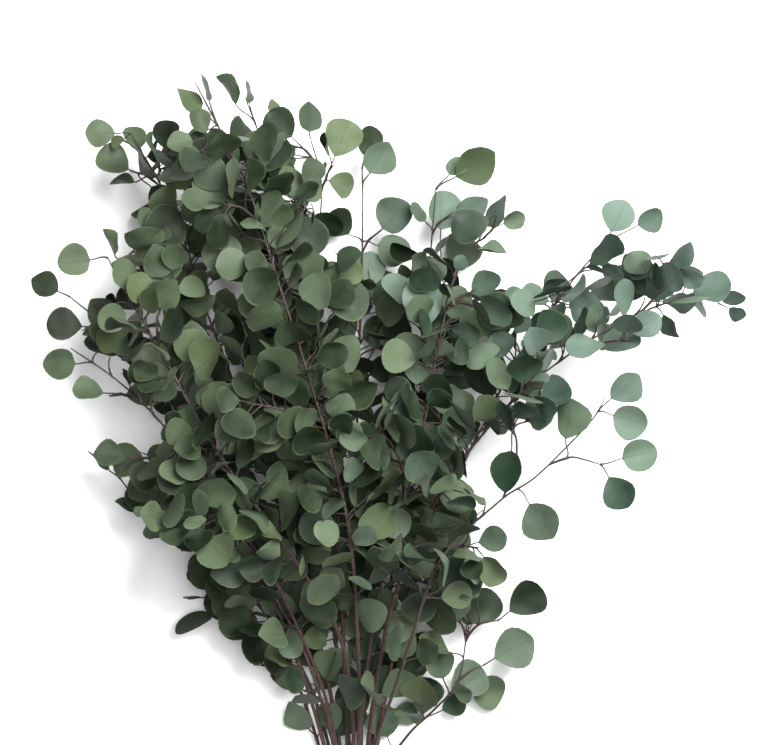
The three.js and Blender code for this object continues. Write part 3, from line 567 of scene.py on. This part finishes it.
def middle_of(leaf):
    """The middle of a leaf's blade."""
    return leaf["base"] + leaf["axis"] * leaf["length"] / 2


def touch_points(leaf):
    """Points along a leaf's stalk and all over its flat oval blade: a square grid of them, cut to the
    oval."""
    grid = np.linspace(-1, 1, DISC_STEPS)
    u, v = [values.ravel() for values in np.meshgrid(grid, grid)]
    inside = u**2 + v**2 <= 1
    across = np.cross(leaf["axis"], leaf["normal"])
    blade = (middle_of(leaf) + np.outer(u[inside] * leaf["length"] / 2, leaf["axis"])
             + np.outer(v[inside] * leaf["width"] / 2, across))
    stalk = leaf["foot"] + STALK_TESTED * (leaf["base"] - leaf["foot"])
    return np.vstack([blade, stalk])


def pierced(points, leaf):
    """True if any of the points lies inside the oval leaf, or within the gap of its face or its rim."""
    away = points - middle_of(leaf)
    u = away @ leaf["axis"] / (leaf["length"] / 2 + LEAF_GAP)
    v = away @ np.cross(leaf["axis"], leaf["normal"]) / (leaf["width"] / 2 + LEAF_GAP)
    return bool(((u**2 + v**2 < 1) & (np.abs(away @ leaf["normal"]) < LEAF_GAP)).any())


def stays_inside(leaf):
    """True if the leaf's lowest and highest rim points are inside the frame's box."""
    across = np.cross(leaf["axis"], leaf["normal"])
    spread = (np.abs(leaf["axis"]) * leaf["length"] + np.abs(across) * leaf["width"]) / 2
    above = middle_of(leaf) - spread > box_low + TIP_KEPT
    below = middle_of(leaf) + spread < box_high - TIP_KEPT
    return bool(above.all() and below.all())


def is_clear(leaf, held):
    """True if the leaf is clear of the wood and of the held leaves near it, their stalks among them."""
    middle = middle_of(leaf)
    wood_near = wood_points[np.linalg.norm(wood_points - middle, axis=1) < NEAR_WOOD]
    if not stays_inside(leaf) or pierced(wood_near, leaf):
        return False
    near = np.flatnonzero(np.linalg.norm(held["middles"] - middle, axis=1) < NEAR_LEAVES)
    near = [k for k in near if held["leaves"][k] is not leaf["was"]]
    if not near:
        return True
    if pierced(np.vstack([held["points"][k] for k in near]), leaf):
        return False
    own = touch_points(leaf)
    return not any(pierced(own, held["leaves"][k]) for k in near)


def turned(leaf, angle):
    """The leaf turned about its own axis: its normal becomes normal * cos + (axis x normal) * sin."""
    normal = leaf["normal"] * np.cos(angle) + np.cross(leaf["axis"], leaf["normal"]) * np.sin(angle)
    return dict(leaf, normal=normal, was=leaf)


def within(ends, draws):
    """Draws from 0 to 1 spread evenly between two ends."""
    low, high = ends
    return low + (high - low) * draws


def tried_leaves():
    """Leaves on evenly drawn places of the wood: a stalk that leaves the wood sideways and a blade at its
    end.

    The low ones come first, because their gaps would otherwise show the floor.
    """
    draw = np.random.default_rng(41).random((MORE_TRIES, DRAWS_EACH))
    stations = np.vstack([wood_of[node][0] for node in nodes])
    owner = np.concatenate([np.full(len(wood_of[node][0]), k) for k, node in enumerate(nodes)])
    tangents = np.vstack([unit(np.gradient(wood_of[node][0], axis=0)) for node in nodes])
    picked = (draw[:, 0] * len(stations)).astype(int)
    tangent = tangents[picked]
    aside = unit(np.cross(tangent, unit(draw[:, 1:4] - 0.5)))
    start = unit(tangent * STALK_FORWARD + aside * STALK_ASIDE)
    base = stations[picked] + start * within(STALK_LENGTHS, draw[:, 4:5])
    axis = unit(start + AXIS_SPREAD * (draw[:, 5:8] - 0.5))
    facing = np.array([0, 0, FACES_UP]) + FACE_SPREAD * (draw[:, 8:11] - 0.5)
    normal = unit(facing - (facing * axis).sum(axis=1, keepdims=True) * axis)
    length = within(BLADE_LENGTHS, draw[:, 11])
    width = length * within(BLADE_WIDTHS, draw[:, 12])
    tip = base + axis * length[:, None]
    inside = in_outline(base - origin) & in_outline(tip - origin)
    ahead = (base - origin)[:, 1]
    low = ahead < STEMS_SHOW_BELOW
    inside &= ~low | (np.maximum(base[:, 2], tip[:, 2]) < UNDER_STEMS * ahead)
    kept = np.concatenate([np.flatnonzero(inside & low), np.flatnonzero(inside & ~low)])
    return [dict(owner=owner[picked[k]], foot=stations[picked[k]], base=base[k], axis=axis[k],
                 normal=normal[k], length=length[k], width=width[k], was=None) for k in kept]


box_low, box_high = [np.array(corner) for corner in cad_box]
binding_low, binding_high = [np.array(corner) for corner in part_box("twine_binding")]
origin = (binding_low + binding_high) / 2 * [1, 1, 0]  # under the middle of the binding
wood_points = np.vstack([wood_of[node][0] for node in nodes])
first_leaves = []
for number, node in enumerate(nodes):
    first_leaves += [dict(leaf, owner=number, was=None) for leaf in plates_of[node]]
held = {
    "leaves": list(first_leaves),
    "middles": np.array([middle_of(leaf) for leaf in first_leaves]),
    "points": [touch_points(leaf) for leaf in first_leaves],
}
turn_draws = np.random.default_rng(23).uniform(-TURN_REACH, TURN_REACH, (len(first_leaves), TURN_TRIES))
for number in np.flatnonzero(in_outline(held["middles"] - origin)):
    for angle in turn_draws[number]:
        leaf = turned(held["leaves"][number], angle)
        if is_clear(leaf, held):
            held["leaves"][number] = leaf
            held["points"][number] = touch_points(leaf)
            break
for leaf in tried_leaves():
    if len(held["leaves"]) >= len(first_leaves) + MORE_LEAVES:
        break
    if is_clear(leaf, held):
        held["leaves"].append(leaf)
        held["middles"] = np.vstack([held["middles"], middle_of(leaf)])
        held["points"].append(touch_points(leaf))
all_leaves = held["leaves"]
trait_draws = np.random.default_rng(7).random((len(all_leaves), len(TRAITS)))


def leaves_on(number):
    """The leaves of a node as one dict of arrays, their traits among them."""
    picked = [k for k, leaf in enumerate(all_leaves) if leaf["owner"] == number]
    keys = ("foot", "base", "axis", "normal", "length", "width")
    leaves = {key: np.array([all_leaves[k][key] for k in picked]) for key in keys}
    for trait, draws in zip(TRAITS, trait_draws[picked].T):
        leaves[trait] = within(TRAITS[trait], draws)
    return leaves


STALK_SIDES = 6
STALK_STATIONS = np.linspace(0, 1, 9)
STALK_RADIUS = 0.0007
STALK_SLANT = 0.75  # how strongly a stalk is drawn along the wood where it leaves it
STALK_LEAVES = 0.42  # the curve's first handle, over the stalk's reach
STALK_ARRIVES = 0.38  # and its second one, in line with the blade
RIB_ALONG = np.array([[0.03, 0.06, 0.1]])
STALK_TAPER = np.append(np.interp(STALK_STATIONS, [0, 0.12, 0.3, 1], [1.5, 1.15, 1, 0.8]), [0.6, 0.4, 0.2])
RED_AT_CUT = 1.15  # the red is full near the cut ends
RED_REACH = 0.42  # and loses 1 over this length
STALK_RED = 0.5  # a stalk's share of the red of the wood beside it
MOST_GREY = 0.7


def stalk_paths(leaves, wood_path):
    """A cubic curve to each leaf: it leaves the wood slanting forward and enters the blade along its
    axis, and then runs on inside the blade as the start of its midrib."""
    apart = np.linalg.norm(leaves["foot"][:, None] - wood_path[None], axis=2)
    nearest = np.argmin(apart, axis=1)
    root = wood_path[nearest]
    tangent = unit(np.gradient(wood_path, axis=0))[nearest]
    end = blade_places(leaves, np.array([[0.0]]), np.array([[0.0]]))[:, 0]
    reach = np.linalg.norm(end - root, axis=1)[:, None]
    first = root + reach * STALK_LEAVES * unit(unit(end - root) + STALK_SLANT * tangent)
    second = end - leaves["axis"] * reach * STALK_ARRIVES
    t = STALK_STATIONS[None, :, None]
    bezier = ((1 - t) ** 3 * root[:, None] + 3 * (1 - t) ** 2 * t * first[:, None]
              + 3 * (1 - t) * t**2 * second[:, None] + t**3 * end[:, None])
    rib = blade_places(leaves, RIB_ALONG, np.zeros(RIB_ALONG.shape))
    return np.concatenate([bezier, rib], axis=1)


def add_wood(number, node, leaves, bark):
    """Makes the piece of a node's wood and of its leaves' stalks: tubes on their paths, closed at both
    ends.

    Its points carry the distance along the wood (on a stalk, x + y + z), a red tint that fades away from
    the cut ends, the node's share of grey, and a mark on the cut face.
    """
    path, travelled, radii = wood_thickness(node, leaves["foot"])
    rings = tube_rings(path[None], radii[None, :, None], WOOD_SIDES)
    over = path[-1] + unit(path[-1] - path[-2]) * radii[-1] * TIP_DOME
    wood, wood_quads, wood_fans = closed_shells(rings, path[:1], over[None])
    stalks = stalk_paths(leaves, path)
    stalk_radii = np.broadcast_to(STALK_RADIUS * STALK_TAPER[None, :, None], stalks.shape[:2] + (1,))
    stalk_rings = tube_rings(stalks, stalk_radii, STALK_SIDES)
    stalk, stalk_quads, stalk_fans = closed_shells(stalk_rings, stalks[:, 0], stalks[:, -1])
    vertices = np.vstack([wood, stalk])
    quads = np.vstack([wood_quads, stalk_quads + len(wood)])
    fans = np.vstack([wood_fans, stalk_fans + len(wood)])
    tint = np.clip(RED_AT_CUT - (vertices[:, 1] - cad_box[0][1]) / RED_REACH, 0, 1)
    tint[len(wood):] *= STALK_RED
    grey = np.random.default_rng(number).random() * MOST_GREY
    cut = np.zeros(len(vertices))
    if node in stems:
        cut[:WOOD_SIDES] = 1
        cut[len(wood) - 2] = 1
    wood_along = np.concatenate([np.repeat(travelled, WOOD_SIDES), [0, travelled[-1]]])
    along = np.concatenate([wood_along, stalk.sum(axis=1)])
    values = {"along": along, "tint": tint, "grey": np.full(len(vertices), grey), "cut": cut}
    piece = new_piece(node + "_wood", vertices, quads, fans, values, bark)
    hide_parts(node)


LEAF_DARK = paint(19, 30, 15)
LEAF_LIGHT = paint(64, 75, 56)
LEAF_BLUE = paint(83, 99, 89)
LEAF_SEA = paint(29, 45, 34)
LEAF_FRESH = paint(69, 80, 54)
# The colour of the painted glow towards each leaf's stalk.
LEAF_PAINTED_GLOW = paint(68, 82, 66)
LEAF_BACK = paint(72, 84, 65)
LEAF_RIM = paint(80, 86, 64)
LEAF_SPOT = paint(34, 32, 22)
VEIN_DARK = paint(26, 33, 24)
VEINS = 8.5  # side veins from one end of the leaf to the other


def leaf_finish():
    """A waxy leaf: green by the stored tone and hue, with a painted glow towards the stalk, a fine midrib
    and side veins, a pale rim, a paler back."""
    material, shade = new_material("eucalyptus_leaf")
    place = shade.object_place()
    uv = shade.node("ShaderNodeUVMap", {"uv_map": "UVMap"}, {})
    split = shade.node("ShaderNodeSeparateXYZ", {}, {"Vector": uv})
    beside = split.math("ABSOLUTE", split - 0.5)
    along = Shade(shade.tree, split.socket.node.outputs[1])
    wander = shade.noise(place, 95.0, detail=3.0)
    grain = shade.noise(place, 900.0, detail=2.0)
    broad = shade.noise(place, 38.0, detail=1.0)
    tone = (shade.value("tone") + (wander - 0.5) * 0.35 + (broad - 0.5) * 0.3).step(0.0, 1.0)
    colour = tone.mix(LEAF_DARK, LEAF_LIGHT)
    colour = shade.value("blue").step(0.0, 1.0).mix(colour, tone.mix(LEAF_SEA, LEAF_BLUE))
    colour = (shade.value("yellow").step(0.0, 1.0) * 0.8).mix(colour, LEAF_FRESH)
    # Painted glow: each blade is painted paler towards its stalk.
    colour = (along.step(0.55, 0.0) * 0.22).mix(colour, LEAF_PAINTED_GLOW)
    rib = beside.step(0.016, 0.004) * along.step(1.0, 0.6)
    vein_phase = (along - beside * 0.95 - beside * beside * 0.9) * VEINS + (wander - 0.5) * 0.35
    vein = vein_phase.math("PINGPONG", vein_phase, 0.5).step(0.07, 0.0)
    colour = (rib * 0.3 + vein * 0.2).mix(colour, VEIN_DARK)
    colour = (shade.value("rim").step(0.86, 1.0) * 0.4).mix(colour, LEAF_RIM)
    colour = (grain.step(0.68, 0.78) * wander.step(0.52, 0.7) * 0.35).mix(colour, LEAF_SPOT)
    back = shade.value("under")
    colour = (back * 0.6).mix(colour, LEAF_BACK)
    relief = wander * 0.5 + grain * 0.18 - rib * 0.7 * (1.0 - 2.0 * back) - vein * 0.25
    roughness = wander.step(0.3, 0.7, 0.54, 0.7)
    surface(shade, {"Base Color": colour, "Roughness": roughness, "Normal": shade.bump(relief, 0.35, 0.0004),
                    "Specular IOR Level": 0.2})
    return material


BLOOM_EVERYWHERE = 0.12
BLOOM_TO_RIGHT = 3.8  # the bloom thickens to the right of the bunch, per metre
BLOOM_FROM = 0.15  # and grows along it from here
BLOOM_REACH = 0.2
LEAST_GROWN = 0.1
BLOOM_UNEVEN = 0.7
YELLOW_FROM = 0.86  # leaves with more spot than this are partly yellow
MOST_YELLOW = 1.2
UV_ROUND = 0.55  # how quickly the stored place across widens from the leaf's ends

POINTS_EACH = LEAF_ROWS * len(RING_ACROSS) + 2
SIDE_BY_SIDE = len(RING_ACROSS) // 2
row_along = np.repeat(ROW_ALONG, len(RING_ACROSS))
row_across = np.tile(RING_ACROSS, LEAF_ROWS)
row_lift = np.tile(RING_LIFT, LEAF_ROWS)


def store_under(mesh):
    """Marks the faces of the leaves' backs: the second half of each ring of faces."""
    under = np.tile(np.repeat([0, 1], SIDE_BY_SIDE), len(mesh.polygons) // len(RING_ACROSS))
    mesh.attributes.new("under", "FLOAT", "FACE").data.foreach_set("value", under.astype(np.float32))


def store_places(mesh, count):
    """Stores each corner's place in its leaf: across in x, narrowing towards both ends, and along in y."""
    across = row_across * 0.5 * (4 * row_along * (1 - row_along)) ** UV_ROUND
    places = np.stack([np.append(across, [0, 0]) + 0.5, np.append(row_along, [0, 1])], axis=1)
    corner = np.empty(len(mesh.loops), np.int32)
    mesh.loops.foreach_get("vertex_index", corner)
    stored = np.tile(places, (count, 1))[corner].astype(np.float32)
    mesh.uv_layers.new(name="UVMap").data.foreach_set("uv", stored.ravel())


def sharpen_rims(mesh):
    """Marks the edges that run along the rims, where a leaf's top and back meet, as sharp."""
    ends = np.empty(len(mesh.edges) * 2, np.int32)
    mesh.edges.foreach_get("vertices", ends)
    place = ends.reshape(-1, 2) % POINTS_EACH
    at_end = place >= POINTS_EACH - 2
    on_rim = (place % len(RING_ACROSS) % SIDE_BY_SIDE == 0) | at_end
    same_side = (place[:, 0] - place[:, 1]) % len(RING_ACROSS) == 0
    sharp = on_rim.all(axis=1) & (same_side | at_end.any(axis=1))
    mesh.attributes.new("sharp_edge", "BOOLEAN", "EDGE").data.foreach_set("value", sharp)


def add_blades(node, leaves, leaf_skin):
    """Makes the piece of a node's leaf blades: each a closed shell of its places, lifted to both sides."""
    count = len(leaves["length"])
    lift = leaves["normal"][:, None] * row_lift[None, :, None]
    places = blade_places(leaves, row_along[None], row_across[None]) + lift
    ends = blade_places(leaves, np.array([[0.0, 1.0]]), np.zeros((1, 2)))
    rings = places.reshape(count, LEAF_ROWS, len(RING_ACROSS), 3)
    vertices, quads, fans = closed_shells(rings, ends[:, 0], ends[:, 1])
    backs = quads.reshape(-1, len(RING_ACROSS), 4)[:, SIDE_BY_SIDE:]
    backs[:] = np.roll(backs, -1, axis=2)  # the back's quads split along the same diagonals as the front's
    right, ahead = (leaves["base"] - origin)[:, :2].T
    grown = np.clip((ahead - BLOOM_FROM) / BLOOM_REACH, LEAST_GROWN, 1)
    uneven = BLOOM_UNEVEN * (leaves["hue"] - 0.5)
    blue = np.clip(BLOOM_EVERYWHERE + BLOOM_TO_RIGHT * right * grown + uneven, 0, 1)
    yellow = np.clip(MOST_YELLOW * (leaves["spot"] - YELLOW_FROM) / (1 - YELLOW_FROM), 0, 1) * (1 - blue)
    values = {
        "tone": np.repeat(leaves["tone"], POINTS_EACH),
        "blue": np.repeat(blue, POINTS_EACH),
        "yellow": np.repeat(yellow, POINTS_EACH),
        "rim": np.tile(np.append(np.abs(row_across), [1, 1]), count),
    }
    piece = new_piece(node + "_leaves", vertices, quads, fans, values, leaf_skin)
    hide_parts(node)
    store_under(piece.data)
    store_places(piece.data, count)
    sharpen_rims(piece.data)


bark = wood_finish()
leaf_skin = leaf_finish()
for number, node in enumerate(nodes):
    leaves = leaves_on(number)
    add_wood(number, node, leaves, bark)
    add_blades(node, leaves, leaf_skin)

# ----------------------------------------------------------------------------------------------------------
# Twine binding
# A length of two-ply jute is wound seven times round the stems below the leaves and tied on top in a
# small knot with two short ends. The strands press against each other and against the stems.

TWINE_RADIUS = 0.001
TWINE_TURNS = 7
TWINE_PITCH = 0.0019
TWINE_STEP = 0.0011
TWINE_SIDES = 10
PLY_TWIST = 0.0065  # one full twist of the two plies
PLY_HOLLOW = 0.78  # of the strand's radius, in the groove between its plies
PLY_CROWN = 0.24  # added on their crowns
STEM_REACH = 0.0029  # from a stem's centre to the inside of the twine
OUTLINE_POINTS = 721
# The outer stems' centres on the right, from the lowest row to the highest.
RIGHT_STEMS = np.array([[0.021, 0.0058], [0.0175, 0.0122], [0.0105, 0.0186]])
TWINE_PALE = paint(172, 150, 118)
# The jute's darker brown for its patches, and the painted shade in the grooves between the plies.
TWINE_BROWN_AND_GROOVE_SHADE = paint(112, 90, 64)


def bundle_outline():
    """The closed outline that a tight strand follows: at each angle, the outermost stem centre that way,
    plus the stem's and the strand's radius."""
    angle = np.linspace(0, 2 * np.pi, OUTLINE_POINTS)
    outward = np.stack([np.cos(angle), np.sin(angle)], axis=1)
    centres = np.vstack([RIGHT_STEMS, RIGHT_STEMS * [-1, 1]])
    outermost = centres[np.argmax(centres @ outward.T, axis=0)]
    return outermost + outward * (STEM_REACH + TWINE_RADIUS)


def wound_path():
    """A helix on the outline: the distance round it goes up evenly while y goes from one edge to the
    other."""
    outline = bundle_outline()
    travelled = travelled_along(outline)
    stations = np.arange(0, TWINE_TURNS * travelled[-1], TWINE_STEP)
    x = np.interp(stations % travelled[-1], travelled, outline[:, 0])
    z = np.interp(stations % travelled[-1], travelled, outline[:, 1])
    y = TWINE_PITCH * (stations / travelled[-1] - TWINE_TURNS / 2)
    return np.stack([x, y, z], axis=1)


def strand(path):
    """The closed shell of a two-ply strand and how high each point is on its ply: the radius swells twice
    round the section, and the swelling turns as it goes along."""
    angle = np.arange(TWINE_SIDES) * 2 * np.pi / TWINE_SIDES
    turn = angle[None] - travelled_along(path)[:, None] * 2 * np.pi / PLY_TWIST
    crown = np.abs(np.cos(turn))
    rings = tube_rings(path[None], (TWINE_RADIUS * (PLY_HOLLOW + PLY_CROWN * crown))[None], TWINE_SIDES)
    vertices, quads, fans = closed_shells(rings, path[:1], path[-1:])
    return vertices, quads, fans, np.append(crown, [1, 1])


TIE_SIZE = 0.0013
TIE_DEPTH = 0.0011
TIE_POINTS = 60
TIE_PLACE = (0.002, 0.001)  # beside the middle of the band, to the right and towards the leaves
TIE_LIFT = 0.0014  # over the band


def knot_path():
    """A small trefoil: x = sin t + 2 sin 2t, y = cos t - 2 cos 2t, z = -sin 3t."""
    t = np.linspace(0, 2 * np.pi, TIE_POINTS)
    flat = TIE_SIZE * np.stack([np.sin(t) + 2 * np.sin(2 * t), np.cos(t) - 2 * np.cos(2 * t)], axis=1)
    return np.column_stack([flat, -TIE_DEPTH * np.sin(3 * t)])


band_top = RIGHT_STEMS[-1][1] + STEM_REACH + 2 * TWINE_RADIUS
knot_centre = np.array([*TIE_PLACE, band_top + TIE_LIFT])
# The two ends of the twine, from the knot outwards.
TAILS = 0.001 * np.array([
    [[0, 0, 0], [4, 6, 1.2], [9, 14, -1.2], [12.5, 22, -3.4], [10.5, 30, -4]],
    [[0, 0, 0], [-5, -4, 1.3], [-8.5, -12, -0.6], [-8, -21, -3], [-11.5, -27.5, -3.4]],
])
strand_paths = [wound_path(), knot_path() + knot_centre]
strand_paths += [smooth_path(points + knot_centre, np.ones(len(points)), TWINE_STEP)[0] for points in TAILS]
strands = [strand(path + origin) for path in strand_paths]
starts = np.cumsum([0] + [len(vertices) for vertices, _, _, _ in strands[:-1]])


def twine_finish():
    """Dry jute: pale on the plies' crowns, painted shade between them, fine crossing fibres and darker
    patches.
    """
    material, shade = new_material("jute_twine")
    place = shade.object_place()
    fibre = shade.noise(place, 2600.0, detail=3.0, roughness=0.65)
    patch = shade.noise(place, 260.0, detail=2.0)
    # Painted shade: the strand is painted darker in the grooves between its plies and paler on their crowns.
    colour = (shade.value("ply").step(0.1, 0.8) * 0.8 + fibre * 0.25).mix(TWINE_BROWN_AND_GROOVE_SHADE, TWINE_PALE)
    colour = (patch.step(0.4, 0.7) * 0.25).mix(colour, TWINE_BROWN_AND_GROOVE_SHADE)
    roughness = fibre.step(0.3, 0.7, 0.75, 0.92)
    surface(shade, {"Base Color": colour, "Roughness": roughness, "Normal": shade.bump(fibre, 0.7, 0.0003),
                    "Specular IOR Level": 0.2})
    return material


vertices = np.vstack([vertices for vertices, _, _, _ in strands])
quads = np.vstack([quads + start for (_, quads, _, _), start in zip(strands, starts)])
fans = np.vstack([fans + start for (_, _, fans, _), start in zip(strands, starts)])
ply = np.concatenate([ply for _, _, _, ply in strands])
twine = new_piece("twine_wrap", vertices, quads, fans, {"ply": ply}, twine_finish())
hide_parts("twine_binding")

# ----------------------------------------------------------------------------------------------------------
# Floor, light and camera
# The bunch lies on a plain white table under two broad soft lights, one from the upper right and one from
# above, in a pale room. The camera looks straight down on it, with the cut ends out of view.

FLOOR_REACH = 3.0
FLOOR_DROP = 0.0004  # just under the lowest piece
FLOOR_PALE = paint(240, 240, 240)
FLOOR_PALER = paint(246, 246, 246)
LIT_PLACE = (0, 0, 0.1)
ROOM_COLOUR = (0.97, 0.985, 1.0, 1.0)
ROOM_STRENGTH = 0.34


def floor_finish():
    """Matt white, with a faint unevenness."""
    material, shade = new_material("pale_floor")
    fleck = shade.noise(shade.object_place(), 12.0)
    colour = fleck.step(0.2, 0.8).mix(FLOOR_PALE, FLOOR_PALER)
    surface(shade, {"Base Color": colour, "Roughness": 0.8, "Specular IOR Level": 0.2})
    return material


floor_mesh = bpy.data.meshes.new("floor")
floor_corners = np.array([[-1, -1, 0], [1, -1, 0], [1, 1, 0], [-1, 1, 0]]) * FLOOR_REACH - [0, 0, FLOOR_DROP]
floor_mesh.from_pydata(floor_corners.tolist(), [], [[0, 1, 2, 3]])
floor_mesh.materials.append(floor_finish())
floor = bpy.data.objects.new("floor", floor_mesh)
bpy.context.scene.collection.objects.link(floor)


def area_light(name, place, size, power):
    """A square lamp at a place, turned to look at the lit place."""
    lamp = bpy.data.lights.new(name, "AREA")
    lamp.size = size
    lamp.energy = power
    holder = bpy.data.objects.new(name, lamp)
    holder.location = place
    holder.rotation_euler = (Vector(LIT_PLACE) - Vector(place)).to_track_quat("-Z", "Y").to_euler()
    bpy.context.scene.collection.objects.link(holder)


area_light("soft_light", place=(0.9, 1.2, 2.4), size=1.4, power=260.0)
area_light("top_light", place=(0.3, 0.1, 3.2), size=1.8, power=80.0)

world = bpy.data.worlds.new("pale_room")
world.use_nodes = True
background = world.node_tree.nodes["Background"]
background.inputs["Color"].default_value = ROOM_COLOUR
background.inputs["Strength"].default_value = ROOM_STRENGTH
bpy.context.scene.world = world
bpy.context.scene.view_settings.view_transform = "Standard"

CAMERA_HEIGHT = 4.6
CAMERA_ASIDE = 0.0238  # from the middle of the binding
CAMERA_AHEAD = 0.3634
VIEW_WIDTH = 0.646  # at the bunch's middle height
MID_HEIGHT = 0.09
SENSOR_WIDTH = 36.0

camera_data = bpy.data.cameras.new("camera")
camera_data.sensor_width = SENSOR_WIDTH
camera_data.lens = SENSOR_WIDTH * (CAMERA_HEIGHT - MID_HEIGHT) / VIEW_WIDTH
camera = bpy.data.objects.new("camera", camera_data)
camera.location = (origin[0] + CAMERA_ASIDE, origin[1] + CAMERA_AHEAD, CAMERA_HEIGHT)
bpy.context.scene.collection.objects.link(camera)
bpy.context.scene.camera = camera
